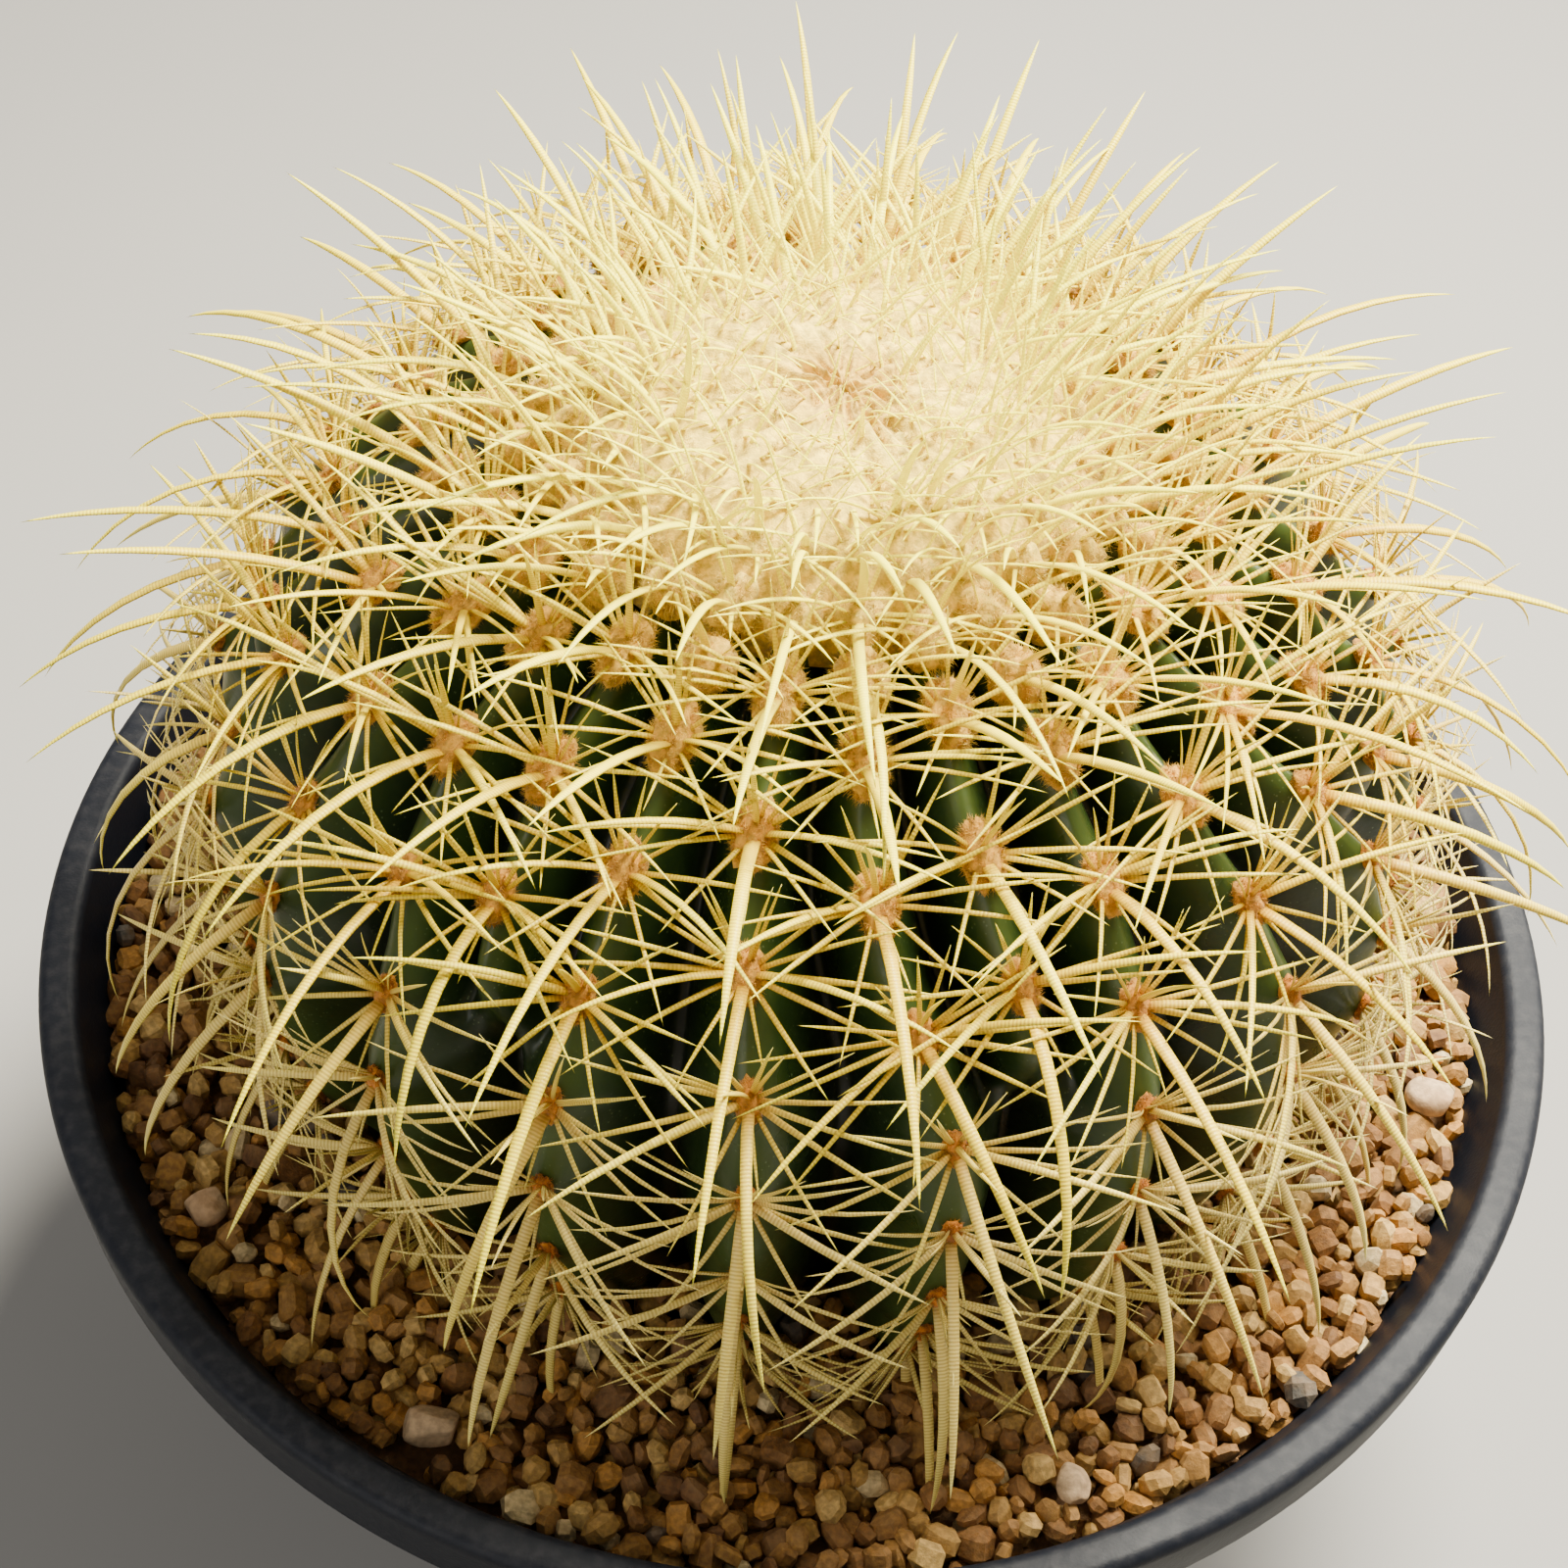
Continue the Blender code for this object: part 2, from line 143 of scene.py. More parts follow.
def set_points(piece, points):
    piece.data.vertices.foreach_set("co", np.ascontiguousarray(points, np.float32).ravel())
    piece.data.update()


def set_values(piece, name, values):
    """Stores one number for each point, which a material reads by its name."""
    attribute = piece.data.attributes.new(name, "FLOAT", "POINT")
    attribute.data.foreach_set("value", np.ascontiguousarray(values, np.float32))


def apply_modifier(piece, kind, **settings):
    select_only(piece)
    modifier = piece.modifiers.new(kind.lower(), kind)
    for label, value in settings.items():
        setattr(modifier, label, value)
    bpy.ops.object.modifier_apply(modifier=modifier.name)


def smooth(piece, degrees=None):
    """Shades a piece smooth, all over or only across edges flatter than the angle."""
    select_only(piece)
    if degrees is None:
        bpy.ops.object.shade_smooth()
    else:
        bpy.ops.object.shade_smooth_by_angle(angle=math.radians(degrees))
    piece.select_set(False)


def settle(piece, material, slot, *nodes):
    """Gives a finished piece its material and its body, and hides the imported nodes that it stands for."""
    piece.data.materials.clear()
    piece.data.materials.append(material)
    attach(piece, "root")
    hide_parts(*nodes)
    return piece


clear_selection()
print("selected now:", len(bpy.context.selected_objects))

# %% [markdown]
# A floor plane catches the shadow. Three large lamps make soft light: one overhead, one from behind on
# the right, which makes the spines glow at their edges, and a weak one in front on the left. Large
# lamps give soft shadows, and a faint light from all round keeps the valleys from going quite black.

# %% Floor and lamps
FLOOR_SIZE = 6.0
LAMP_AIM = stem_high.z * 0.7    # the height that the lamps point at
WORLD_COLOR = (1.0, 0.985, 0.95, 1.0)
WORLD_STRENGTH = 0.32
bpy.ops.mesh.primitive_plane_add(size=FLOOR_SIZE, location=(0, 0, 0))
floor = bpy.context.object
floor.name = "floor"


def lamp(name, place, size, watts, color):
    data = bpy.data.lights.new(name, "AREA")
    data.shape = "DISK"
    data.size = size
    data.energy = watts
    data.color = color
    item = bpy.data.objects.new(name, data)
    bpy.context.scene.collection.objects.link(item)
    item.location = place
    toward = Vector((0, 0, LAMP_AIM)) - Vector(place)
    item.rotation_euler = toward.to_track_quat("-Z", "Y").to_euler()


lamp("overhead", (0.24, 0.29, 0.95), 0.42, 52.0, (1.0, 0.955, 0.82))
lamp("behind_right", (0.95, 0.80, 0.70), 0.5, 24.0, (1.0, 0.95, 0.82))
lamp("front_left", (-0.9, -0.9, 0.8), 0.9, 7.5, (1.0, 0.98, 0.94))
world = bpy.data.worlds.new("studio")
world.use_nodes = True
surroundings = world.node_tree.nodes["Background"]
surroundings.inputs["Color"].default_value = WORLD_COLOR
surroundings.inputs["Strength"].default_value = WORLD_STRENGTH
bpy.context.scene.world = world
print("lamps:", len(bpy.data.lights), "and a floor", FLOOR_SIZE, "m wide")

# %% [markdown]
# ## Shared effects
# A material is a tree of nodes, which by hand are added and joined with the mouse. Each of these helpers
# adds one node, and links its inputs or sets their numbers, so that a finish below reads like a recipe.


# %% Node helpers
def add_node(tree, kind, **settings):
    node = tree.nodes.new(kind)
    for label, value in settings.items():
        setattr(node, label, value)
    return node


def feed(tree, socket, value):
    """Links an output to a socket, or sets the socket's own number or colour."""
    if isinstance(value, bpy.types.NodeSocket):
        tree.links.new(value, socket)
    elif isinstance(value, tuple):
        socket.default_value = (*value, 1.0)
    else:
        socket.default_value = value


def math_node(tree, operation, *values):
    node = add_node(tree, "ShaderNodeMath", operation=operation)
    for socket, value in zip(node.inputs, values):
        feed(tree, socket, value)
    return node.outputs[0]


def mix_colors(tree, share, first, second, blend="MIX"):
    node = add_node(tree, "ShaderNodeMix", data_type="RGBA", blend_type=blend)
    for number, value in ((0, share), (6, first), (7, second)):
        feed(tree, node.inputs[number], value)
    return node.outputs[2]


def map_range(tree, value, low, high, to_low=0.0, to_high=1.0):
    node = add_node(tree, "ShaderNodeMapRange")
    for socket, number in zip(node.inputs, (value, low, high, to_low, to_high)):
        feed(tree, socket, number)
    return node.outputs[0]


def ramp(tree, value, stops, interpolation="LINEAR"):
    node = add_node(tree, "ShaderNodeValToRGB")
    node.color_ramp.interpolation = interpolation
    elements = node.color_ramp.elements
    for stop in stops[1:-1]:
        elements.new(stop[0])
    for element, (place, color) in zip(elements, stops):
        element.position = place
        element.color = (*color, 1.0)
    feed(tree, node.inputs["Fac"], value)
    return node.outputs["Color"]


def stored(tree, name):
    """The number that set_values stored at each point."""
    return add_node(tree, "ShaderNodeAttribute", attribute_name=name).outputs["Fac"]


def own_place(tree):
    """The object's own coordinates, so that a pattern stays on its piece."""
    return add_node(tree, "ShaderNodeTexCoord").outputs["Object"]


def noise_texture(tree, scale, detail):
    texture = add_node(tree, "ShaderNodeTexNoise")
    for label, value in (("Vector", own_place(tree)), ("Scale", scale), ("Detail", detail)):
        feed(tree, texture.inputs[label], value)
    return texture.outputs["Fac"]


# %% [markdown]
# Three effects come back in several finishes, so each is a node group with its own inputs:
# speckle gives a mask of soft spots, tint moves a colour up and down with a mask, and relief makes a
# fine height for bumps. A group gives out only masks, colours and heights. The shader stays outside.


# %% The shared groups
def new_group(name, output, kind, **inputs):
    """A group with one output, whose inputs start at the given values. A tuple is a colour."""
    group = bpy.data.node_groups.new(name, "ShaderNodeTree")
    for label, value in inputs.items():
        given_kind = "NodeSocketColor" if isinstance(value, tuple) else "NodeSocketFloat"
        socket = group.interface.new_socket(name=label, in_out="INPUT", socket_type=given_kind)
        socket.default_value = value
    group.interface.new_socket(name=output, in_out="OUTPUT", socket_type=kind)
    given = add_node(group, "NodeGroupInput").outputs
    result = add_node(group, "NodeGroupOutput").inputs[output]
    return group, given, result


def make_speckle():
    group, given, result = new_group("speckle", "Mask", "NodeSocketFloat",
                                     Scale=200.0, Low=0.45, High=0.6)
    spots = noise_texture(group, given["Scale"], 3.0)
    feed(group, result, map_range(group, spots, given["Low"], given["High"]))
    return group


def make_tint():
    group, given, result = new_group("tint", "Color", "NodeSocketColor",
                                     Color=(0.5, 0.5, 0.5, 1.0), Mask=0.5, Amount=0.2)
    centred = math_node(group, "SUBTRACT", given["Mask"], 0.5)
    scaled = math_node(group, "MULTIPLY", centred, given["Amount"])
    shift = add_node(group, "ShaderNodeHueSaturation")
    feed(group, shift.inputs["Value"], math_node(group, "ADD", scaled, 1.0))
    feed(group, shift.inputs["Color"], given["Color"])
    feed(group, result, shift.outputs["Color"])
    return group


def make_relief():
    group, given, result = new_group("relief", "Height", "NodeSocketFloat",
                                     Coarse=300.0, Fine=1500.0, Share=0.5)
    coarse = noise_texture(group, given["Coarse"], 2.0)
    fine = math_node(group, "MULTIPLY", noise_texture(group, given["Fine"], 2.0), given["Share"])
    feed(group, result, math_node(group, "ADD", coarse, fine))
    return group


def group_node(tree, group, **values):
    node = add_node(tree, "ShaderNodeGroup", node_tree=group)
    for label, value in values.items():
        feed(tree, node.inputs[label], value)
    return node.outputs[0]


SPECKLE = make_speckle()
TINT = make_tint()
RELIEF = make_relief()
print("shared effects:", SPECKLE.name, TINT.name, RELIEF.name)


# %% Floor finish
def finish(name, roughness, **plain):
    """A material, its tree and its shader. Plain values go on the shader's own sockets."""
    material = bpy.data.materials.new(name)
    material.use_nodes = True
    tree = material.node_tree
    shader = tree.nodes["Principled BSDF"]
    shader.inputs["Roughness"].default_value = roughness
    for label, value in plain.items():
        shader.inputs[label.replace("_", " ")].default_value = value
    return material, tree, shader


floor_paint, tree, shader = finish("floor_paint", 0.85)
mottle = group_node(tree, SPECKLE, Scale=3.0, Low=0.3, High=0.7)
painted = group_node(tree, TINT, Color=(0.31, 0.30, 0.285), Mask=mottle, Amount=0.05)
feed(tree, shader.inputs["Base Color"], painted)
floor.data.materials.append(floor_paint)
print("floor finish:", len(tree.nodes), "nodes")

# %% [markdown]
# ## The pot
# A wide pot of blue-black plastic, moulded in one piece, with a thick rounded lip. By hand, one draws
# its section and turns it. Here a disc is the inside of the floor, and its rim is extruded and scaled
# from point to point of the section: up the inside, over the lip, down the outside and under the base.

# %% Pot section
LIP_WIDTH = 0.0080
LIP_HEIGHT = 0.016
LIP_EDGE = 0.0024               # rounding of the lip's edges
LIP_DRAFT = 0.0008              # how much the lip narrows towards its lower edge
LIP_CHAMFER = 0.0008            # where the wall meets the underside of the lip
POT_WALL = 0.0035
POT_FLOOR = 0.0045
POT_BASE_RADIUS = 0.104
BASE_EDGE = 0.006
POT_SIDES = 192
pot_top = pot_high.z


def pot_inner_radius(height):
    share = (height - POT_FLOOR) / (pot_top - POT_FLOOR)
    low = POT_BASE_RADIUS - POT_WALL
    return low + (lip_radius - LIP_WIDTH - low) * share


def rounded(centre_r, centre_z, radius, start, end, steps=6):
    """Points of a rounded edge, angles in degrees."""
    angles = np.radians(np.linspace(start, end, steps + 1))
    return [(centre_r + radius * math.cos(a), centre_z + radius * math.sin(a)) for a in angles]


lip_low = pot_top - LIP_HEIGHT
under_lip = pot_inner_radius(lip_low) + POT_WALL
inner_heights = (POT_FLOOR, 0.05, 0.10, lip_low, pot_top - LIP_HEIGHT / 2)
pot_section = [(pot_inner_radius(height), height) for height in inner_heights]
pot_section += rounded(pot_inner_radius(pot_top) + LIP_EDGE, pot_top - LIP_EDGE, LIP_EDGE, 180, 90)
pot_section += rounded(lip_radius - LIP_EDGE, pot_top - LIP_EDGE, LIP_EDGE, 90, 0)
pot_section += [(lip_radius - LIP_DRAFT / 2, (pot_top + lip_low) / 2)]
pot_section += rounded(lip_radius - LIP_DRAFT - LIP_EDGE, lip_low + LIP_EDGE, LIP_EDGE, 0, -90)
pot_section += [(under_lip + LIP_CHAMFER, lip_low), (under_lip, lip_low - LIP_CHAMFER)]
pot_section += rounded(POT_BASE_RADIUS - BASE_EDGE, BASE_EDGE, BASE_EDGE, 0, -90)
print("pot section:", len(pot_section), "points")


# %% Pot shell
def turn_section(name, section, sides):
    """Extrudes a disc's rim along a section of (radius, height) points and closes it with a disc."""
    clear_selection()
    radius, height = section[0]
    bpy.ops.mesh.primitive_circle_add(vertices=sides, radius=radius, fill_type="NGON",
                                      location=(0, 0, height))
    piece = bpy.context.object
    piece.name = name
    bpy.ops.object.transform_apply(location=True, rotation=False, scale=False)
    edit_mode("EDGE")
    bpy.ops.mesh.select_all(action="SELECT")
    for next_radius, next_height in section[1:]:
        bpy.ops.mesh.extrude_edges_move(
            TRANSFORM_OT_translate={"value": (0, 0, next_height - height)})
        scale = next_radius / radius
        bpy.ops.transform.resize(value=(scale, scale, 1), center_override=(0, 0, next_height))
        radius, height = next_radius, next_height
    bpy.ops.mesh.edge_face_add()
    bpy.ops.mesh.select_all(action="SELECT")
    bpy.ops.mesh.normals_make_consistent(inside=False)
    object_mode()
    return piece


pot = turn_section("pot_shell", pot_section, POT_SIDES)
print("pot shell:", len(pot.data.polygons), "faces")

# %% [markdown]
# Water leaves through holes in the floor. By hand one would cut them with a cylinder, and so do we: a
# Boolean modifier takes each cylinder away from the shell, and the cylinder is then removed.

# %% Drain holes
DRAIN_HOLES = 6
DRAIN_RADIUS = 0.0065
DRAIN_CIRCLE = 0.066
DRAIN_SIDES = 32
for number in range(DRAIN_HOLES):
    turn = math.radians((number + 0.5) * 360 / DRAIN_HOLES)
    clear_selection()
    bpy.ops.mesh.primitive_cylinder_add(
        vertices=DRAIN_SIDES, radius=DRAIN_RADIUS, depth=POT_FLOOR * 4,
        location=(DRAIN_CIRCLE * math.sin(turn), -DRAIN_CIRCLE * math.cos(turn), POT_FLOOR / 2))
    cutter = bpy.context.object
    apply_modifier(pot, "BOOLEAN", operation="DIFFERENCE", object=cutter)
    bpy.data.objects.remove(cutter, do_unlink=True)
smooth(pot, 32)
print("pot shell:", len(pot.data.polygons), "faces,", DRAIN_HOLES, "drain holes")

# %% [markdown]
# The plastic is matte with a fine moulded grain and a slight mottle. The faces that look up get painted
# light, a lighter grey mixed into their colour. Its mask comes from the upward part of the surface's own
# normal, broken up by spots.


# %% Pot finish
def bump(tree, shader, height, strength, distance):
    node = add_node(tree, "ShaderNodeBump")
    for label, value in (("Strength", strength), ("Distance", distance), ("Height", height)):
        feed(tree, node.inputs[label], value)
    feed(tree, shader.inputs["Normal"], node.outputs["Normal"])


pot_plastic, tree, shader = finish("pot_plastic", 0.55, Specular_IOR_Level=0.20)
mottle = group_node(tree, SPECKLE, Scale=35.0, Low=0.35, High=0.68)
base = group_node(tree, TINT, Color=(0.0045, 0.0060, 0.0110), Mask=mottle, Amount=0.16)
facing = add_node(tree, "ShaderNodeSeparateXYZ")
feed(tree, facing.inputs[0], add_node(tree, "ShaderNodeNewGeometry").outputs["Normal"])
upward = map_range(tree, facing.outputs["Z"], 0.35, 1.0)
# Painted light: the faces that look up are mixed towards a lighter grey, in spots.
painted_top_light_spots = group_node(tree, SPECKLE, Scale=420.0, Low=0.42, High=0.72)
painted_top_light = math_node(tree, "MULTIPLY", upward, map_range(tree, painted_top_light_spots, 0, 1, 0.02, 0.12))
feed(tree, shader.inputs["Base Color"], mix_colors(tree, painted_top_light, base, (0.13, 0.125, 0.12)))
feed(tree, shader.inputs["Roughness"], map_range(tree, mottle, 0, 1, 0.50, 0.60))
grain_height = group_node(tree, RELIEF, Coarse=260.0, Fine=1700.0, Share=0.8)
bump(tree, shader, grain_height, 0.25, 0.0003)
settle(pot, pot_plastic, "pot_plastic", "pot")
print("pot finish:", len(tree.nodes), "nodes")

# %% [markdown]
# ## The outline of the stem
# Seen from the side the stem is a flattened ball: widest a third of the way up, flat at the crown and
# drawn in towards the grit. A single number, the level, runs along that outline from -90 degrees at
# the underside through 0 at the waist to 90 at the crown. Everything on the plant is placed by a
# rib number and a level.

# %% Outline
WAIST_ABOVE_LIP = 0.048
WAIST_MARGIN = 0.0004           # the box is this much narrower, as no crest points straight along X
DRAW_IN_POWER = 1.46            # how early the outline draws in towards its ends
RISE_POWER = 0.87               # how flat the crown is
DIMPLE_DEPTH = 0.005            # the crown's middle lies a little lower
DIMPLE_RADIUS = 0.020
waist_radius = stem_high.x + WAIST_MARGIN
waist_z = pot_top + WAIST_ABOVE_LIP
dome_height = stem_high.z + DIMPLE_DEPTH - waist_z
foot_depth = waist_z - stem_low.z
grit_top = grit_high.z


def crest_radius(level):
    return waist_radius * np.maximum(np.cos(np.radians(level)), 0.0) ** DRAW_IN_POWER


def crest_height(level):
    rise = np.sin(np.radians(level))
    dimple = DIMPLE_DEPTH * np.exp(-((crest_radius(level) / DIMPLE_RADIUS) ** 2))
    dome = dome_height * np.maximum(rise, 0) ** RISE_POWER - dimple * (np.asarray(level) > 0)
    return waist_z + np.where(rise > 0, dome, foot_depth * rise)


def smooth_step(value, low, high):
    share = np.clip((np.asarray(value, float) - low) / (high - low), 0, 1)
    return share * share * (3 - 2 * share)


grit_level = math.degrees(math.asin((grit_top - waist_z) / foot_depth))
print("the stem meets the grit at level", round(grit_level, 1))

# %% [markdown]
# ## Ribs
# Twenty-one ribs come out of the grit. Higher up, where the stem is younger, a shorter rib has started
# in every third valley, so that twenty-eight reach the crown, evenly spaced. The ribs lean a little to
# one side on their way up.

# %% Rib directions
PRIMARY_RIBS = 21
INSERT_EVERY = 3
FIRST_RIB = -3.2                # degrees from the front
CROWN_TWIST = -3.4              # degrees that the ribs lean over on their way up
SPREAD_RANGE = (10.0, 42.0)     # levels over which they move apart for the shorter ribs
INSERT_RANGE = (6.0, 22.0)      # levels over which a shorter rib rises out of its valley

low_azimuths = []
inserted = []
for number in range(PRIMARY_RIBS):
    low_azimuths.append(number * 360.0 / PRIMARY_RIBS)
    inserted.append(False)
    if number % INSERT_EVERY == 1:
        low_azimuths.append((number + 0.5) * 360.0 / PRIMARY_RIBS)
        inserted.append(True)
RIBS = len(low_azimuths)
low_azimuths = np.array(low_azimuths)
inserted = np.array(inserted)


def rib_azimuth(rib, level):
    """Azimuth in degrees from the front towards +X, for whole rib numbers of any size."""
    rib = np.asarray(rib)
    low = low_azimuths[rib % RIBS] + 360.0 * (rib // RIBS)
    high = rib * 360.0 / RIBS + CROWN_TWIST
    return FIRST_RIB + low + (high - low) * smooth_step(level, *SPREAD_RANGE)


def polar(radius, azimuth, height):
    turn = np.radians(azimuth)
    return np.stack(np.broadcast_arrays(radius * np.sin(turn), -radius * np.cos(turn), height), -1)


print(RIBS, "ribs,", int(inserted.sum()), "of them inserted")

# %% [markdown]
# ## Areoles
# Each rib carries its pads at a steady pitch, wide apart at the shoulder and closer near the grit.
# Neighbours are staggered. Under the wool the youngest pads stand so close that they touch.

# %% Pad levels
AREOLE_TOP = 51.0               # the highest level of a pad outside the wool
AREOLE_STAGGER = 8.0
STAGGER_SHARE = 0.618           # the golden share, which spreads the ribs' offsets evenly
AREOLE_PITCH = (11.2, 6.8)      # from pad to pad, at the shoulder and near the grit
PITCH_RANGE = (-20, 25)         # levels over which the pitch changes
LOWEST_PAD = grit_level + 3.4
YOUNG_PITCH = 5.4
WOOL_GAP = 1.2                  # more room between the ribs' pads and those in the wool
YOUNGEST = 84.0
YOUNGEST_STEP = 2.5             # one rib in three reaches the centre, and its neighbours stop short
MIDDLE_PAD = 88.0               # the very youngest pad, which only the first rib has


def stagger(rib):
    """A share from 0 to 1 that is well mixed between neighbours."""
    return rib * STAGGER_SHARE % 1.0


def pad_levels(rib):
    lowest = INSERT_RANGE[1] if inserted[rib] else LOWEST_PAD
    widest, narrowest = AREOLE_PITCH
    level = AREOLE_TOP - AREOLE_STAGGER * stagger(rib)
    levels = []
    while level > lowest:
        levels.append(level)
        level -= narrowest + (widest - narrowest) * float(smooth_step(level, *PITCH_RANGE))
    return levels


def young_levels(rib):
    """Levels of the pads in the wool, the youngest of which are nearest to the centre."""
    level = pad_levels(rib)[0] + YOUNG_PITCH + WOOL_GAP
    levels = []
    while level < YOUNGEST - YOUNGEST_STEP * (rib % 3):
        levels.append(level)
        level += YOUNG_PITCH
    if rib == 0:
        levels.append(MIDDLE_PAD)
    return levels


PADS = [pad_levels(rib) for rib in range(RIBS)]
YOUNG_PADS = [young_levels(rib) for rib in range(RIBS)]
print(sum(map(len, PADS)), "pads on the ribs and", sum(map(len, YOUNG_PADS)), "in the wool")

# %% [markdown]
# ## The stem
# A sphere with fourteen columns of faces to a rib is the start. Each of its points is moved to the
# outline and then pushed inwards by the rib's relief: nothing on the crest, the full depth in the
# valley. Crests are rounded and swell under each pad, and the flanks meet in a sharp valley.

# %% Relief of the ribs
RIB_DEPTH = 0.0185
CREST_ROUNDING = 0.42
NORMAL_STEP = 0.5               # half the stretch of outline that a normal is measured over


def flank(share):
    """0 on the crest, 1 in the valley, round at the crest and straight below it."""
    rounding = CREST_ROUNDING
    full = math.hypot(1.0, rounding) - rounding
    return (np.hypot(share, rounding) - rounding) / full


def rib_share(rib, level):
    """How far an inserted rib has risen out of its valley."""
    return np.where(inserted[rib % RIBS], smooth_step(level, *INSERT_RANGE), 1.0)


def relief_share(rib, fraction, level):
    """Depth between a rib and the next, as a share of the full one, at a fraction of the way across."""
    valley = np.where(fraction < 0.5, flank(2 * fraction), flank(2 * (1 - fraction)))
    merged_here = valley * rib_share(rib, level) + flank(1 - fraction) * (1 - rib_share(rib, level))
    after = rib_share(rib + 1, level)
    merged_after = valley * after + flank(fraction) * (1 - after)
    return np.where(inserted[rib % RIBS], merged_here, merged_after)


def outline_normal(level):
    """Radial and upward parts of the outline's outward normal."""
    radial = crest_radius(level + NORMAL_STEP) - crest_radius(level - NORMAL_STEP)
    upward = crest_height(level + NORMAL_STEP) - crest_height(level - NORMAL_STEP)
    length = np.hypot(radial, upward)
    return upward / length, -radial / length


print("a valley is", RIB_DEPTH, "m deep at the waist")


# %% Swellings and waves of the skin
PAD_SWELL = 0.0014
SWELL_REACH = 2.4
WAVE_TURNS = 9                  # how fast the skin's slight waves change round the stem
WAVE_CLIMB = 0.09               # and with the level
WAVE_HEIGHT = 0.0007
POLE_FADE = (0.5, 6)            # degrees from a pole over which ribs and waves set in


def swell(rib, level):
    """How much the crest rises at its pads."""
    total = np.zeros(np.shape(level))
    for number in range(RIBS):
        here = (rib % RIBS) == number
        for pad in PADS[number]:
            bulge = np.exp(-(((level - pad) / SWELL_REACH) ** 2))
            total = np.where(here, np.maximum(total, bulge), total)
    return total * PAD_SWELL


def skin_waves(azimuth, levels):
    """A slight unevenness, from -1 to 1."""
    waves = []
    for degrees, level in zip(azimuth, levels):
        turn = math.radians(degrees)
        place = (math.sin(turn) * WAVE_TURNS, math.cos(turn) * WAVE_TURNS, level * WAVE_CLIMB)
        waves.append(noise.noise(Vector(place)))
    return np.array(waves)


def between_ribs(rib, fraction, level):
    """Azimuth at a fraction of the way from a rib to the next."""
    return rib_azimuth(rib, level) * (1 - fraction) + rib_azimuth(rib + 1, level) * fraction


def stem_points(rib, fraction, levels):
    """Points of the skin, and for each its depth between the ribs, from 0 to 1."""
    azimuth = between_ribs(rib, fraction, levels)
    depth = relief_share(rib, fraction, levels)
    nearest = np.where(fraction < 0.5, rib, rib + 1)
    radius = crest_radius(levels)
    push = -RIB_DEPTH * depth * np.clip(radius / waist_radius, 0, 1)
    push = push + swell(nearest, levels) * (1 - depth) ** 2
    push = push + skin_waves(azimuth, levels) * WAVE_HEIGHT
    normal_r, normal_z = outline_normal(levels)
    fade = smooth_step(90 - np.abs(levels), *POLE_FADE)
    height = crest_height(levels) + push * normal_z * fade
    return polar(radius + push * normal_r * fade, azimuth, height), depth


# %% Stem mesh
COLUMNS_PER_RIB = 14
STEM_RINGS = 150
columns = RIBS * COLUMNS_PER_RIB
clear_selection()
bpy.ops.mesh.primitive_uv_sphere_add(segments=columns, ring_count=STEM_RINGS, radius=1.0)
stem = bpy.context.object
stem.name = "cactus_stem"
unit = points_of(stem)
levels = np.degrees(np.arcsin(np.clip(unit[:, 2], -1, 1)))
column = np.round(np.degrees(np.arctan2(unit[:, 0], -unit[:, 1])) / 360 * RIBS * COLUMNS_PER_RIB)
rib, place = np.divmod(column.astype(int) % columns, COLUMNS_PER_RIB)
points, depth = stem_points(rib, place / COLUMNS_PER_RIB, levels)
set_points(stem, points)
# The crest share paints shade into the skin's colour: the nearer a point lies to a valley, the darker.
set_values(stem, "crest", 1 - depth)
smooth(stem)
print("stem:", len(stem.data.polygons), "faces")

# %% [markdown]
# The skin is waxy and dark. Its colour is yellowest and lightest on the crests and is painted darker
# down the flanks, nearly black in the valleys: that darkening is painted shade. Tiny pale dots, the
# breathing pores, are scattered over it. A slight unevenness keeps highlights alive.

# %% Skin finish
stem_skin, tree, shader = finish("stem_skin", 0.30, Specular_IOR_Level=0.34)
# Painted shade: the colour darkens from the crest down into the valley.
tone = ramp(tree, stored(tree, "crest"), [
    (0.0, (0.0030, 0.0050, 0.0018)), (0.35, (0.0065, 0.0145, 0.0030)),
    (0.75, (0.017, 0.037, 0.0070)), (1.0, (0.050, 0.080, 0.0150))])
patches = group_node(tree, SPECKLE, Scale=55.0, Low=0.3, High=0.7)
toned = group_node(tree, TINT, Color=tone, Mask=patches, Amount=0.30)
pores = add_node(tree, "ShaderNodeTexVoronoi")
feed(tree, pores.inputs["Scale"], 900.0)
feed(tree, pores.inputs["Vector"], own_place(tree))
dots = map_range(tree, pores.outputs["Distance"], 0.10, 0.20, 0.45, 0.0)
dots = math_node(tree, "MULTIPLY", dots, group_node(tree, SPECKLE, Scale=130.0, Low=0.46, High=0.6))
feed(tree, shader.inputs["Base Color"], mix_colors(tree, dots, toned, (0.20, 0.27, 0.13)))
feed(tree, shader.inputs["Roughness"], map_range(tree, patches, 0, 1, 0.24, 0.38))
bump(tree, shader, group_node(tree, RELIEF, Coarse=170.0, Fine=900.0, Share=0.3), 0.30, 0.0005)
settle(stem, stem_skin, "stem_skin", "cactus_body")
print("skin finish:", len(tree.nodes), "nodes")

# %% [markdown]
# ## Pads and their frames
# For every pad we need its point on the crest and three directions: out from the skin, down along the
# rib, and sideways. Spines and hair are laid out in these directions. A class keeps them together with
# the pad's age, so that every piece that grows on a pad reads the same numbers.

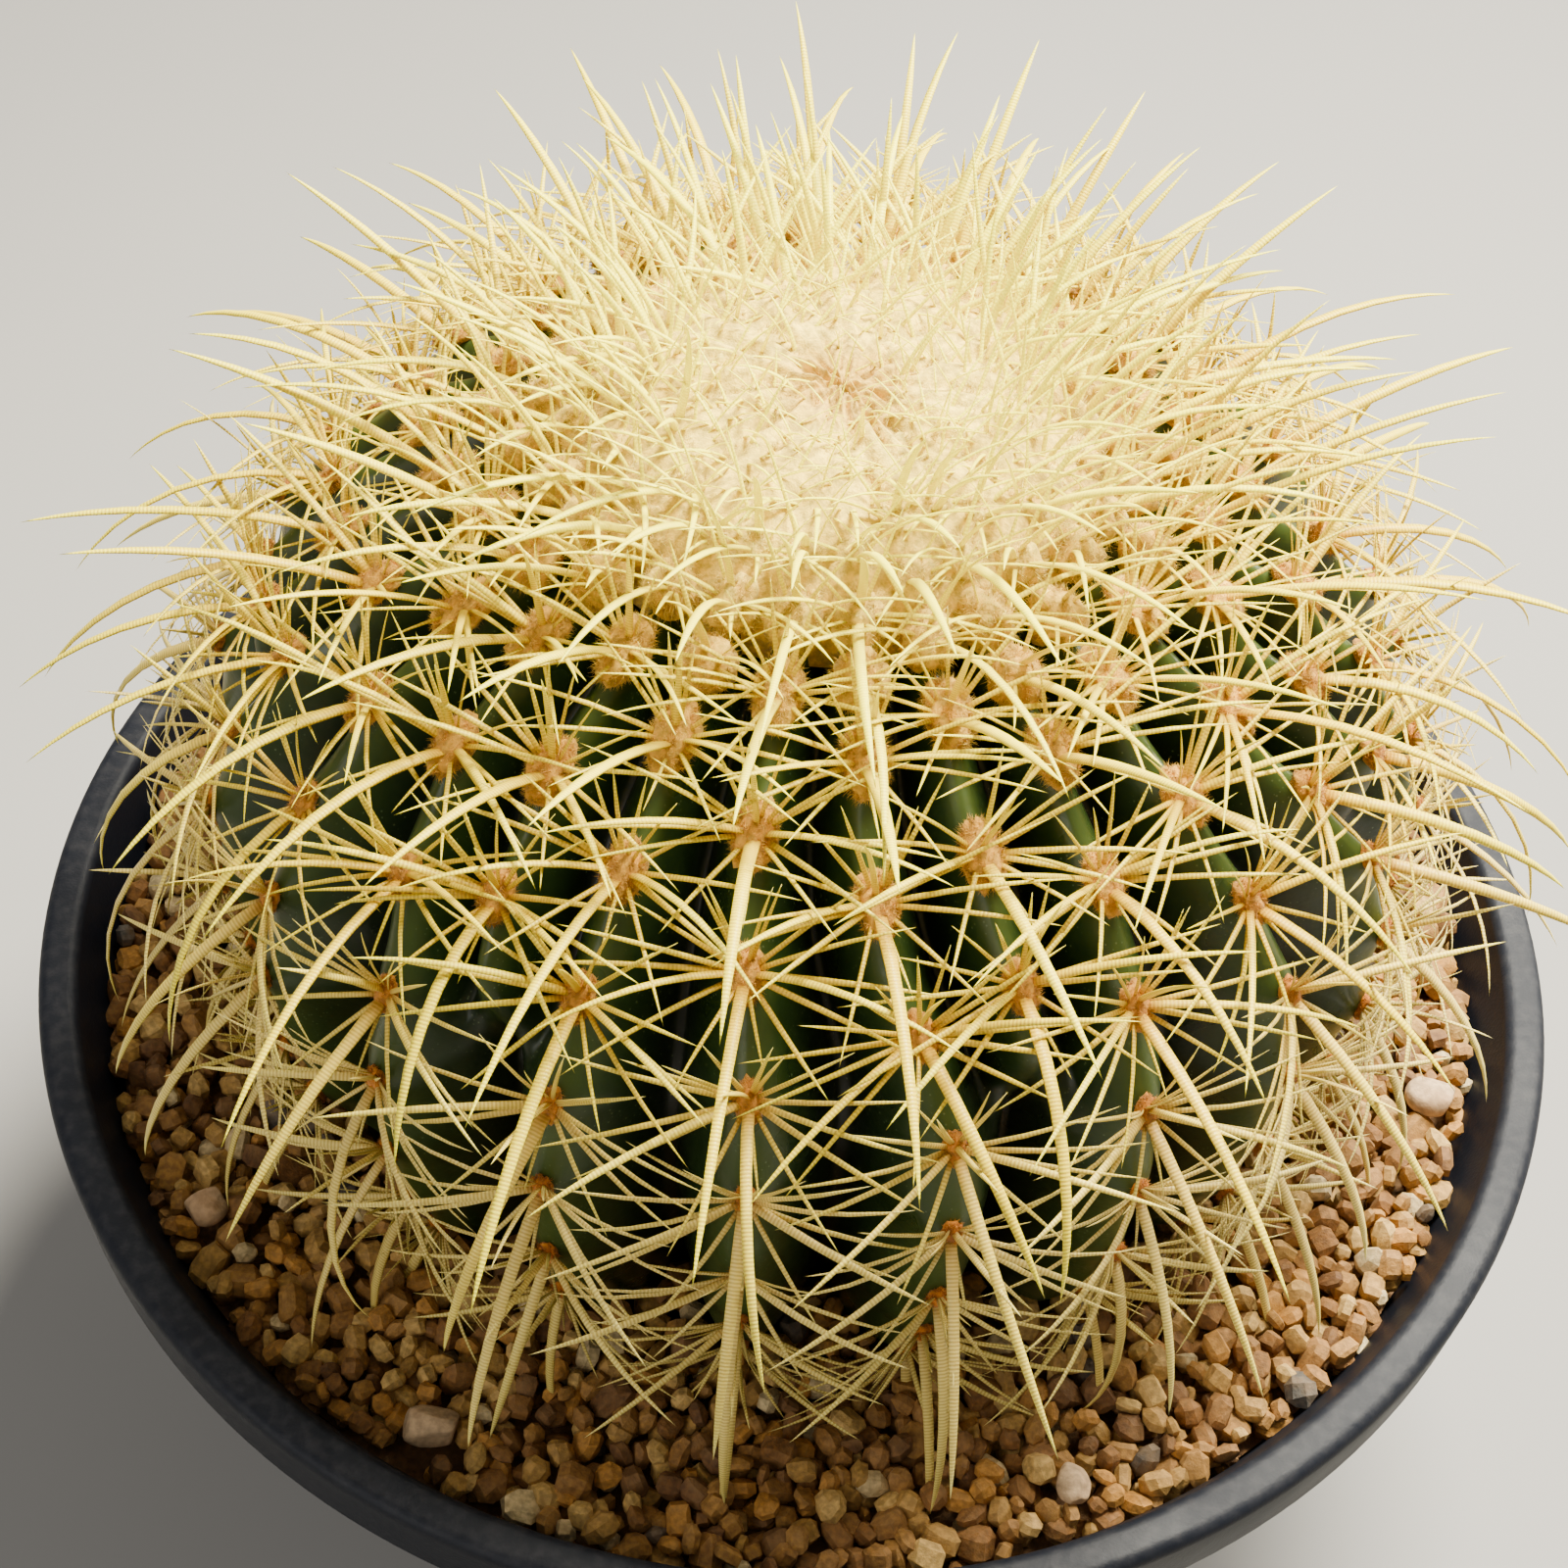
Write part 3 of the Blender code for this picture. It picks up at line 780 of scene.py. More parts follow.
# %% Pad frames
CROWN_SWING = 14.0              # degrees by which the youngest pads stray from their rib's line
SWING_RANGE = (70, 82)
PAD_STEP = 0.8                  # levels to either side, which give the direction along the rib
AGE_RANGE = (-10, 54)           # levels over which pads get younger on the ribs
WOOL_AGE_RANGE = (48, 64)       # and in the wool
WOOL_YOUTH = 0.6
# Painted shade: the felt grows darker and browner towards the crown's middle, down into its dimple.
DIMPLE_RANGE = (74, 80.5)       # levels over which the felt darkens towards the middle
DIMPLE_SHADE = 0.9


def pad_azimuth(rib, level):
    swing = CROWN_SWING * (stagger(rib) - 0.5) * smooth_step(level, *SWING_RANGE)
    return rib_azimuth(rib, level) + swing


def crest_point(rib, level, young):
    """A point on a rib's crest, with the swelling under the pads that aren't in the wool."""
    lift = 0.0 if young else float(swell(np.array([rib]), np.array([level]))[0])
    out_r, out_z = outline_normal(level)
    height = crest_height(level) + lift * out_z
    return Vector(polar(crest_radius(level) + lift * out_r, pad_azimuth(rib, level), height).tolist())


class Pad:
    """One areole: where it sits, which way it faces and how young it is."""

    def __init__(self, rib, level, young):
        self.level = level
        self.young = young
        self.point = crest_point(rib, level, young)
        below = crest_point(rib, level - PAD_STEP, young)
        self.down = (below - crest_point(rib, level + PAD_STEP, young)).normalized()
        across = Vector(polar(1.0, pad_azimuth(rib, level) + 90.0, 0.0).tolist())
        self.side = (across - self.down * across.dot(self.down)).normalized()
        self.out = self.down.cross(self.side).normalized()
        wool_youth = WOOL_YOUTH * smooth_step(level, *WOOL_AGE_RANGE)
        self.age = float(1 - smooth_step(level, *AGE_RANGE) - wool_youth)
        # A factor on the felt's tint, which paints shade into the crown's dimple.
        self.brightness = float(1 - DIMPLE_SHADE * smooth_step(level, *DIMPLE_RANGE))


rib_pads = [[Pad(rib, level, False) for level in PADS[rib]] for rib in range(RIBS)]
young_pads = [[Pad(rib, level, True) for level in YOUNG_PADS[rib]] for rib in range(RIBS)]
print("pad frames:", sum(map(len, rib_pads)) + sum(map(len, young_pads)))

# %% [markdown]
# ## Copies of one model
# Spines, hairs and grains are each modelled once and then copied many times. A copy is the model's own
# points, scaled, bent and moved, and all copies of a rib are joined in one mesh of their own. The
# helper below repeats the model's faces and stores a few numbers at every point for the finishes.


# %% Joining copies
def model_arrays(model):
    """A model's points and faces, after which the model itself is removed."""
    points = points_of(model)
    faces = [tuple(polygon.vertices) for polygon in model.data.polygons]
    bpy.data.objects.remove(model, do_unlink=True)
    return points, faces


def join_parts(name, parts, values):
    """parts are (points of all copies, faces of one copy, number of copies); values go with the points."""
    all_points = []
    all_faces = []
    start = 0
    for points, faces, copies in parts:
        per_copy = len(points) // copies
        for size in sorted({len(face) for face in faces}):
            same = np.array([face for face in faces if len(face) == size])
            shifted = same[None] + start + per_copy * np.arange(copies)[:, None, None]
            all_faces += shifted.reshape(-1, size).tolist()
        all_points.append(points)
        start += len(points)
    mesh = bpy.data.meshes.new(name)
    mesh.from_pydata(np.concatenate(all_points).tolist(), [], all_faces)
    piece = bpy.data.objects.new(name, mesh)
    bpy.context.scene.collection.objects.link(piece)
    for label, numbers in values.items():
        set_values(piece, label, np.concatenate(numbers))
    mesh.shade_smooth()
    return piece


# %% [markdown]
# ## The spine, modelled once
# A spine is a slender, slightly flattened horn: broad for most of its length, then drawn to a point.
# A cone is cut into rings by planes, and the rings are widened to that outline. The long spines have
# more rings, because they bend more.

# %% Spine models
SPINE_POINT = 5.5               # higher is blunter
SPINE_TAPER = 0.34              # share of its width lost before the point
ROOT_WIDTH = 0.9


def spine_model(sides, cuts):
    clear_selection()
    bpy.ops.mesh.primitive_cone_add(vertices=sides, radius1=1.0, radius2=0.0, depth=1.0,
                                    location=(0, 0, 0.5), end_fill_type="NGON")
    model = bpy.context.object
    bpy.ops.object.transform_apply(location=True, rotation=False, scale=False)
    edit_mode("VERT")
    for height in cuts:
        bpy.ops.mesh.select_all(action="SELECT")
        bpy.ops.mesh.bisect(plane_co=(0, 0, height), plane_no=(0, 0, 1))
    object_mode()
    points, faces = model_arrays(model)
    share = points[:, 2]
    cone = np.maximum(1 - share, 1e-6)
    outline = (1 - share**SPINE_POINT) * (1 - SPINE_TAPER * share)
    outline = np.where(share < 0.02, ROOT_WIDTH, outline)
    points[:, :2] *= np.where(share > 0.999, 1.0, outline / cone)[:, None]
    return points, faces


LONG_SPINE = spine_model(6, (0.10, 0.24, 0.38, 0.52, 0.66, 0.78, 0.88, 0.95))
SHORT_SPINE = spine_model(5, (0.14, 0.38, 0.62, 0.82, 0.94))
print("spine models:", len(LONG_SPINE[1]), "and", len(SHORT_SPINE[1]), "faces")

# %% [markdown]
# ## The star of spines on a pad
# Round the pad lie about fifteen thin radial spines, close over the skin. From its middle rise the
# central ones: the lowest is the longest and broadest and curves down, two more curve out to the sides,
# and one stands up. Angles are counted like a clock's from the crown side, and rise from the skin. The
# stars in the wool have plans of their own: taller spines at its edge, short ones in the middle.

# %% Spine plans
# clock angle, rise, length, width and bend (degrees and metres)
RADIALS = [
    (12, 44, 0.0185, 0.00100, 12), (-14, 46, 0.0180, 0.00100, 12),
    (48, 30, 0.0225, 0.00100, 18), (-51, 30, 0.0220, 0.00100, 18),
    (73, 27, 0.0280, 0.00112, 34), (-74, 27, 0.0280, 0.00112, 34),
    (91, 28, 0.0315, 0.00120, 42), (-92, 28, 0.0315, 0.00120, 42),
    (109, 29, 0.0290, 0.00115, 36), (-110, 29, 0.0290, 0.00115, 36),
    (140, 30, 0.0235, 0.00105, 22), (-143, 30, 0.0235, 0.00105, 22),
    (174, 25, 0.0140, 0.00085, 10), (30, 36, 0.0175, 0.00090, 14), (-33, 37, 0.0175, 0.00090, 14),
]
CENTRALS = [
    (180, 55, 0.0490, 0.00250, 60), (88, 40, 0.0360, 0.00160, 46),
    (-89, 40, 0.0360, 0.00160, 46), (4, 60, 0.0250, 0.00140, 18),
]
EDGE_SPINES = [
    (180, 66, 0.0440, 0.00215, 44), (84, 54, 0.0310, 0.00145, 40), (-86, 54, 0.0310, 0.00145, 40),
    (5, 82, 0.0360, 0.00175, 38), (40, 54, 0.0185, 0.00088, 14), (-42, 54, 0.0185, 0.00088, 14),
    (112, 48, 0.0190, 0.00090, 18), (-114, 48, 0.0190, 0.00090, 18), (150, 62, 0.0200, 0.00095, 16),
]
CENTRE_SPINES = [
    (180, 62, 0.0230, 0.00115, 46), (92, 52, 0.0190, 0.00088, 34), (-94, 52, 0.0190, 0.00088, 34),
    (8, 64, 0.0165, 0.00080, 24), (50, 42, 0.0150, 0.00066, 26), (-52, 42, 0.0150, 0.00066, 26),
    (140, 46, 0.0150, 0.00066, 28), (-145, 46, 0.0150, 0.00066, 28), (70, 58, 0.0160, 0.00070, 24),
]
print("a star has up to", len(RADIALS), "radial and", len(CENTRALS), "central spines")

# %% [markdown]
# No two spines are alike, so each one strays from its plan by chance. Dice with a fixed seed give the
# same plant every time. Some changes go with height: spines near the grit are shorter and straighter,
# and just below the wool they stand up more.

# %% How a spine strays from its plan
CLOCK_JITTER = 5.5              # degrees, a standard deviation
RISE_JITTER = 4.5
YOUNG_JITTER = 1.9              # times as much in the wool
LENGTH_RANGE = (0.86, 1.08)
WIDTH_RANGE = (0.88, 1.08)
BEND_RANGE = (0.6, 1.35)
LEAST_BEND = 2.0                # degrees
SHOULDER = (30, 48)             # levels over which spines come to stand up more
SHOULDER_RISE = 8               # degrees
LONGEST_RISE = 18               # degrees, for the longest spine
SHOULDER_STRAIGHT = 0.45        # share of their bend that spines lose at the shoulder
GRIT_STRAIGHT = 0.40            # and at the grit
GRIT_RISE = 12                  # degrees by which the lower spines keep clear of the grit
LOWER_SIDE = -0.4               # cosine of the clock angle below which a spine is a lower one
SIDE_SWAY = 0.25                # how far the bend may turn to either side
CEILING_ROOM = 0.0165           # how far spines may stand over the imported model's wool
SPINE_CEILING = wool_high.z + CEILING_ROOM
CENTRAL_START = (0.0010, 0.60, 0.75)    # from the pad's middle, and the bend's pull down and inwards
RADIAL_START = (0.0017, 0.30, 1.0)
WOOL_LIFT = 0.0020              # how far off the crest a spine starts in the wool
CREST_LIFT = 0.0006             # and elsewhere


def spine_size(pad, central):
    """Length of a pad's spines, as a share of the longest."""
    if pad.young:
        return 1 - 0.42 * float(smooth_step(pad.level, 64, 82))
    low = float(smooth_step(pad.level, grit_level, 4))
    high = float(smooth_step(pad.level, 34, 52))
    return (0.74 + 0.26 * low) * (1 - (0.06 if central else 0.04) * high)


def lift_with_height(pad, recipe, clock, rise, bend):
    """Rise and bend of a spine outside the wool, changed for the height of its pad."""
    high = float(smooth_step(pad.level, *SHOULDER))
    rise += math.radians(LONGEST_RISE if recipe[0] == 180 else SHOULDER_RISE) * high
    bend *= 1 - SHOULDER_STRAIGHT * high - GRIT_STRAIGHT * float(1 - smooth_step(pad.level, grit_level, 8))
    if math.cos(clock) < LOWER_SIDE:
        rise += math.radians(GRIT_RISE) * float(1 - smooth_step(pad.level, grit_level, -4))
    return rise, bend


def plan_spine(pad, recipe, dice, central):
    """One spine as numbers: root, first direction, bending direction, length, width and bend."""
    clock, rise, length, width, bend = recipe
    wild = YOUNG_JITTER if pad.young else 1.0
    clock = math.radians(clock + dice.gauss(0, CLOCK_JITTER * wild))
    rise = math.radians(rise + dice.gauss(0, RISE_JITTER * wild))
    if not pad.young:
        rise, bend = lift_with_height(pad, recipe, clock, rise, bend)
    size = spine_size(pad, central)
    length *= size * dice.uniform(*LENGTH_RANGE)
    width *= (0.75 + 0.25 * size) * dice.uniform(*WIDTH_RANGE)
    along = pad.side * math.sin(clock) - pad.down * math.cos(clock)
    first = along * math.cos(rise) + pad.out * math.sin(rise)
    from_middle, pull_down, pull_in = CENTRAL_START if central else RADIAL_START
    toward = pad.down * pull_down - pad.out * pull_in
    toward += pad.side * dice.uniform(-SIDE_SWAY, SIDE_SWAY)
    toward = (toward - first * toward.dot(first)).normalized()
    root = pad.point + pad.out * (WOOL_LIFT if pad.young else CREST_LIFT) + along * from_middle
    turn = math.radians(max(bend * dice.uniform(*BEND_RANGE), LEAST_BEND))
    length = min(length, (SPINE_CEILING - root.z) / max(first.z, 0.1))
    tint = 0.35 * central + 0.60 * dice.random()
    return (*root, *first, *toward, length, width, turn, tint, pad.age)


print("spines stop at height", round(SPINE_CEILING, 4))

# %% [markdown]
# A plan bends the model along an arc. The arc's middle line comes from the sine and cosine of the angle
# turned so far, and the ring of points round it keeps its broad side across the bend. All copies of a
# row are bent at once, as one table of numbers, which is much faster than a loop over its spines.


# %% Bending the copies
THICKNESS = 0.43                # thickness of a spine, as a share of its width


def grow(model, plans):
    """Bends a copy of the model along each plan's arc; returns points and the numbers stored on them."""
    points, faces = model
    plans = np.array(plans)
    root, first, toward = plans[:, 0:3], plans[:, 3:6], plans[:, 6:9]
    length, width, turn, tint, age = plans[:, 9:14].T
    share = points[None, :, 2]
    angle = turn[:, None] * share
    reach = (length / turn)[:, None]
    middle = (root[:, None] + (reach * np.sin(angle))[..., None] * first[:, None]
              + (reach * (1 - np.cos(angle)))[..., None] * toward[:, None])
    broad = np.cross(toward, first)
    thin = (-np.sin(angle))[..., None] * first[:, None] + np.cos(angle)[..., None] * toward[:, None]
    half = width[:, None] / 2
    bent = (middle + (points[None, :, 0] * half)[..., None] * broad[:, None]
            + (points[None, :, 1] * half * THICKNESS)[..., None] * thin)
    copies = len(plans)
    shape = (copies, len(points))
    values = {
        "along": np.broadcast_to(share, shape).ravel(),
        "along_mm": (share * length[:, None] * 1000).ravel(),
        "tint": np.broadcast_to(tint[:, None], shape).ravel(),
        "age": np.broadcast_to(age[:, None], shape).ravel(),
    }
    return (bent.reshape(-1, 3), faces, copies), values


# %% Rows of spines
EDGE_LEVEL = 67.0               # the wool's outer pads, below this level, bear long spines too
LONG_BEND = 36                  # a young pad's spine that bends more than this is a long one, degrees
CENTRAL_CHANCE = 0.86           # that a central spine other than the longest is there
RADIAL_CHANCE = 0.94
YOUNG_CHANCE = (0.80, 0.95)     # that a young pad has grown a long spine, and a short one
UNGROWN = 0.78                  # share of those chances that is lost towards the centre


def rib_plans(rib):
    """Plans of a rib's long spines and of its short ones."""
    dice = random.Random(500 + rib)
    long_plans = []
    short_plans = []
    for pad in rib_pads[rib]:
        for recipe in CENTRALS:
            if recipe[0] == 180 or dice.random() < CENTRAL_CHANCE:
                long_plans.append(plan_spine(pad, recipe, dice, True))
        for recipe in RADIALS:
            if dice.random() < RADIAL_CHANCE:
                short_plans.append(plan_spine(pad, recipe, dice, False))
    for pad in young_pads[rib]:
        grown = 1 - UNGROWN * float(smooth_step(pad.level, 66, 77))
        for recipe in EDGE_SPINES if pad.level < EDGE_LEVEL else CENTRE_SPINES:
            long = recipe[4] > LONG_BEND
            if dice.random() < YOUNG_CHANCE[0 if long else 1] * grown:
                (long_plans if long else short_plans).append(plan_spine(pad, recipe, dice, long))
    return long_plans, short_plans


def spine_row(rib):
    parts = []
    values = {}
    for model, plans in zip((LONG_SPINE, SHORT_SPINE), rib_plans(rib)):
        part, stored_values = grow(model, plans)
        parts.append(part)
        for label, numbers in stored_values.items():
            values.setdefault(label, []).append(numbers)
    return join_parts(f"rib_spines_{rib + 1:02d}", parts, values)


rows = [spine_row(rib) for rib in range(RIBS)]
print("rows of spines:", len(rows), "with", sum(len(row.data.polygons) for row in rows), "faces")

# %% [markdown]
# The spines are amber at the root and grow paler towards the tip, and all of them are ringed by very
# fine ridges, a little over half a millimetre apart. The rings come from a sine of the distance along
# the spine. Young spines are yellower and old ones duller. A little light passes through the horn.

# %% Colours of the horn
spine_horn, tree, shader = finish("spine_horn", 0.42, Specular_IOR_Level=0.35, Subsurface_Weight=0.20,
                                  Subsurface_Radius=(1.0, 0.75, 0.25), Subsurface_Scale=0.002)
along = stored(tree, "along")
age = stored(tree, "age")
tint = stored(tree, "tint")
amber = ramp(tree, along, [
    (0.0, (0.64, 0.25, 0.006)), (0.08, (0.74, 0.41, 0.006)), (0.26, (0.77, 0.49, 0.006)),
    (0.62, (0.81, 0.56, 0.007)), (0.90, (0.89, 0.69, 0.014)), (1.0, (0.90, 0.71, 0.05))])
cream = ramp(tree, along, [
    (0.0, (0.76, 0.38, 0.008)), (0.10, (0.92, 0.66, 0.010)), (0.36, (0.96, 0.78, 0.014)),
    (1.0, (0.98, 0.86, 0.035))])
horn_color = mix_colors(tree, tint, amber, cream)
young_share = map_range(tree, age, 0.30, -0.6)
horn_color = mix_colors(tree, young_share, horn_color, (0.95, 0.86, 0.020))
old_share = map_range(tree, age, 0.45, 0.95, 0.0, 0.75)
horn_color = mix_colors(tree, old_share, horn_color, (0.86, 0.68, 0.25))
feed(tree, shader.inputs["Roughness"], map_range(tree, tint, 0, 1, 0.34, 0.50))
print("colours of the horn:", len(tree.nodes), "nodes")

# %% Rings of the horn
RING_PITCH = 0.62               # millimetres
turns = math_node(tree, "MULTIPLY", stored(tree, "along_mm"), 2 * math.pi / RING_PITCH)
rings = math_node(tree, "SINE", turns)
short_of_tip = map_range(tree, along, 0.85, 1.0, 1.0, 0.0)
ring_share = math_node(tree, "MULTIPLY", short_of_tip, map_range(tree, age, -0.6, 0.3, 0.30, 1.0))
grooves = math_node(tree, "MULTIPLY", map_range(tree, rings, -1, 1, 0.62, 0.0), ring_share)
feed(tree, shader.inputs["Base Color"], mix_colors(tree, grooves, horn_color, (0.42, 0.23, 0.02)))
bump(tree, shader, rings, 0.35, 0.00006)


def row_node(rib):
    """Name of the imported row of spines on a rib."""
    return f"spine_row_{rib + 1:02d}"


for rib, row in enumerate(rows):
    settle(row, spine_horn, "spines", row_node(rib))
print("horn finish:", len(tree.nodes), "nodes, on", len(rows), "rows")

# %% [markdown]
# ## Felt and wool
# A pad is a small cushion of felt. Its body is a lumpy ball pressed flat, and fine hairs stand out of
# it all over. Young pads are large, woolly and cream, old ones small and rusty. One hair is a slender
# three-sided spike, and there are many thousands.

# %% Felt models
clear_selection()
bpy.ops.mesh.primitive_ico_sphere_add(subdivisions=3, radius=1.0)
PAD_MODEL = model_arrays(bpy.context.object)
clear_selection()
bpy.ops.mesh.primitive_cone_add(vertices=3, radius1=1.0, radius2=0.0, depth=1.0, location=(0, 0, 0.5))
bpy.ops.object.transform_apply(location=True, rotation=False, scale=False)
FELT_HAIR = model_arrays(bpy.context.object)
print("felt models:", len(PAD_MODEL[1]), "and", len(FELT_HAIR[1]), "faces")

# %% Cushions of the pads
# half width, half length and height of a cushion, and how much each changes with age
YOUNG_SIZE = (0.0044, 0.0052, 0.0048)
YOUNG_LOSS = (0.0014, 0.0016, 0.0012)
OLD_SIZE = (0.0018, 0.0031, 0.0013)
OLD_GAIN = (0.0020, 0.0030, 0.0012)
LUMP_SCALE = 2.3
LUMP_HEIGHT = 0.30
GRAIN_HEIGHT = 0.035


def pad_size(pad):
    if pad.young:
        share = float(smooth_step(pad.level, 54, 80))
        return tuple(start - loss * share for start, loss in zip(YOUNG_SIZE, YOUNG_LOSS))
    youth = float(smooth_step(pad.level, -4, 50)) ** 1.4
    return tuple(start + gain * youth for start, gain in zip(OLD_SIZE, OLD_GAIN))


def lay_pads(pads, seed):
    """Lumpy cushions on the pads' places."""
    rng = np.random.default_rng(seed)
    points, faces = PAD_MODEL
    laid, tint, age = [], [], []
    for pad in pads:
        start = Vector(rng.uniform(-50, 50, 3).tolist())
        lumps = np.array([noise.noise(Vector(point) * LUMP_SCALE + start) for point in points])
        grain = rng.standard_normal(len(points)).clip(-1.5, 1.5)
        relief = 1 + LUMP_HEIGHT * lumps + GRAIN_HEIGHT * grain
        local = points * relief[:, None] * np.array(pad_size(pad))
        laid.append(local @ np.array([-pad.side, pad.down, pad.out]) + np.array(pad.point))
        # The cushion's tint is lighter on its lumps and darker in the dips between them, which is painted
        # shade, with a random grain on top; the pad's factor adds the painted shade of the crown's dimple.
        tint.append(np.clip(0.45 + 0.5 * lumps + 0.15 * grain, 0, 1) * pad.brightness)
        age.append(np.full(len(points), pad.age))
    return (np.concatenate(laid), faces, len(pads)), np.concatenate(tint), np.concatenate(age)


widest_pad = max(pad_size(pad)[0] for row in young_pads for pad in row)
print("the widest cushion is", round(2000 * widest_pad, 1), "mm wide")

# %% [markdown]
# Hairs start all over the upper side of a cushion and lean every way, so that they read as felt and not
# as a brush. The wool of the crown is the same felt with longer hairs.

# %% Hairs of the felt
FELT_LENGTH = (0.0004, 0.0010)
FELT_THICKNESS = 0.00007
FELT_LEAN = 0.9
WOOL_GROWTH = 1.6               # by how much the crown's hairs are longer, as a share
ROOT_DEPTH = 0.96               # hairs start a little inside the cushion
DOME_FACTOR = 1.6e6             # from a cushion's flat area to its domed one, in square millimetres


def unit_rows(rows):
    return rows / np.linalg.norm(rows, axis=1)[:, None]


def surface_roots(pads, density, rng):
    """Places and outward directions all over the upper side of the pads, with each one's pad number."""
    roots, outward, owner = [], [], []
    for number, pad in enumerate(pads):
        size = np.array(pad_size(pad))
        count = int(math.pi * size[0] * size[1] * DOME_FACTOR * density)
        ball = rng.standard_normal((count, 3))
        ball[:, 2] = np.abs(ball[:, 2]) - 0.25
        ball /= np.linalg.norm(ball, axis=1)[:, None]
        axes = np.array([pad.side, pad.down, pad.out])
        roots.append(ball * size * ROOT_DEPTH @ axes + np.array(pad.point))
        outward.append(unit_rows(ball / size) @ axes)
        owner.append(np.full(count, number))
    return np.concatenate(roots), np.concatenate(outward), np.concatenate(owner)


def felt_hair(pads, density, seed):
    """Fine hairs, leaning every way, close together like felt; young wool has longer ones."""
    rng = np.random.default_rng(seed)
    roots, outward, owner = surface_roots(pads, density, rng)
    count = len(roots)
    aim_to = unit_rows(outward + FELT_LEAN * rng.standard_normal((count, 3)))
    first = unit_rows(np.cross(aim_to, rng.standard_normal((count, 3))))
    second = np.cross(aim_to, first)
    age = np.array([pad.age for pad in pads])[owner]
    brightness = np.array([pad.brightness for pad in pads])[owner]
    length = rng.uniform(*FELT_LENGTH, count) * (1.0 + WOOL_GROWTH * (1 - np.clip(age + 0.4, 0, 1)))
    points, faces = FELT_HAIR
    made = (roots[:, None] + points[None, :, 2:3] * (aim_to * length[:, None])[:, None]
            + points[None, :, 0:1] * (first * FELT_THICKNESS)[:, None]
            + points[None, :, 1:2] * (second * FELT_THICKNESS)[:, None])
    size = len(points)
    # A random tone for each hair, times the painted shade of the crown's dimple.
    tint = (0.15 + 0.85 * rng.random(count)) * brightness
    return (made.reshape(-1, 3), faces, count), np.repeat(tint, size), np.repeat(age, size)


print("a hair is up to", round(1000 * FELT_LENGTH[1], 1), "mm long on the ribs")

# %% [markdown]
# Rust-brown felt on the oldest pads, tan higher up and cream in the crown: one ramp over the pad's age
# gives all three, and every hair is a little lighter or darker than its neighbour. The stored tint also
# carries painted shade, which darkens the felt in the crown's dimple and in the dips between lumps.

# %% Wool finish
wool, tree, shader = finish("wool", 0.9, Sheen_Weight=0.12, Sheen_Roughness=0.5)
tone = ramp(tree, map_range(tree, stored(tree, "age"), -0.6, 1.0), [
    (0.0, (0.98, 0.82, 0.125)), (0.28, (0.96, 0.71, 0.075)), (0.46, (0.86, 0.50, 0.045)),
    (0.72, (0.70, 0.33, 0.030)), (1.0, (0.72, 0.26, 0.016))])
# The darker felt colour, for darker hairs and for the painted shade in the dimple and between lumps.
darker = mix_colors(tree, 0.85, tone, (0.46, 0.28, 0.12), blend="MULTIPLY")
varied_and_shaded = mix_colors(tree, map_range(tree, stored(tree, "tint"), 0.0, 0.75), darker, tone)
clumps = group_node(tree, SPECKLE, Scale=700.0, Low=0.36, High=0.62)
clumped = group_node(tree, TINT, Color=varied_and_shaded, Mask=clumps, Amount=0.55)
feed(tree, shader.inputs["Base Color"], clumped)
bump(tree, shader, group_node(tree, RELIEF, Coarse=900.0, Fine=2600.0, Share=0.7), 0.6, 0.0005)
print("wool finish:", len(tree.nodes), "nodes")

# %% Felt on the ribs
QUARTERS = 4
RIB_DENSITY = 8.5               # hairs to the square millimetre


def cover_with_felt(name, rib_rows, density, seed, nodes_of):
    """Felt in four pieces, each over a quarter of the ribs."""
    for quarter in range(QUARTERS):
        ribs = range(quarter * RIBS // QUARTERS, (quarter + 1) * RIBS // QUARTERS)
        pads = [pad for rib in ribs for pad in rib_rows[rib]]
        cushions, cushion_tint, cushion_age = lay_pads(pads, seed + quarter)
        hair, hair_tint, hair_age = felt_hair(pads, density, seed + quarter + 1)
        felt = join_parts(f"{name}_{quarter + 1}", [cushions, hair], {
            "tint": [cushion_tint * 0.6, hair_tint], "age": [cushion_age, hair_age]})
        settle(felt, wool, "wool", *nodes_of(ribs))
        print(felt.name, len(felt.data.polygons), "faces")


cover_with_felt("rib_felt", rib_pads, RIB_DENSITY, 40, lambda ribs: map(row_node, ribs))

# %% [markdown]
# ## The crown's wool
# Under the hair of the youngest pads the crown is one soft cushion. A sphere pressed between the stem's
# outline and the wool's top is its body, with gentle lumps on its upper side.

# %% Crown cushion
WOOL_EDGE = 55.0                # the level where the cushion ends
WOOL_DEPTH = 0.0040             # its thickness over the outline
WOOL_UNDERSIDE = 0.004          # how far it reaches into the stem
CUSHION_LUMPS = 9
clear_selection()
bpy.ops.mesh.primitive_uv_sphere_add(segments=140, ring_count=60, radius=1.0)
cushion = bpy.context.object
cushion.name = "crown_cushion"
unit = points_of(cushion)
turn = np.degrees(np.arctan2(unit[:, 0], -unit[:, 1]))
levels = WOOL_EDGE + (90 - WOOL_EDGE) * np.abs(unit[:, 2])**0.8
lumps = np.array([noise.noise(Vector((p[0] * CUSHION_LUMPS, p[1] * CUSHION_LUMPS, 3.3))) for p in unit])
thick = WOOL_DEPTH * smooth_step(levels, WOOL_EDGE - 0.5, WOOL_EDGE + 9) * (1 + 0.6 * lumps)
above = unit[:, 2] > 0
height = crest_height(levels) + np.where(above, thick, -WOOL_UNDERSIDE)
set_points(cushion, polar(crest_radius(levels) * (1 - 0.02 * ~above), turn, height))
set_values(cushion, "age", -0.6 * smooth_step(levels, 50, 66))
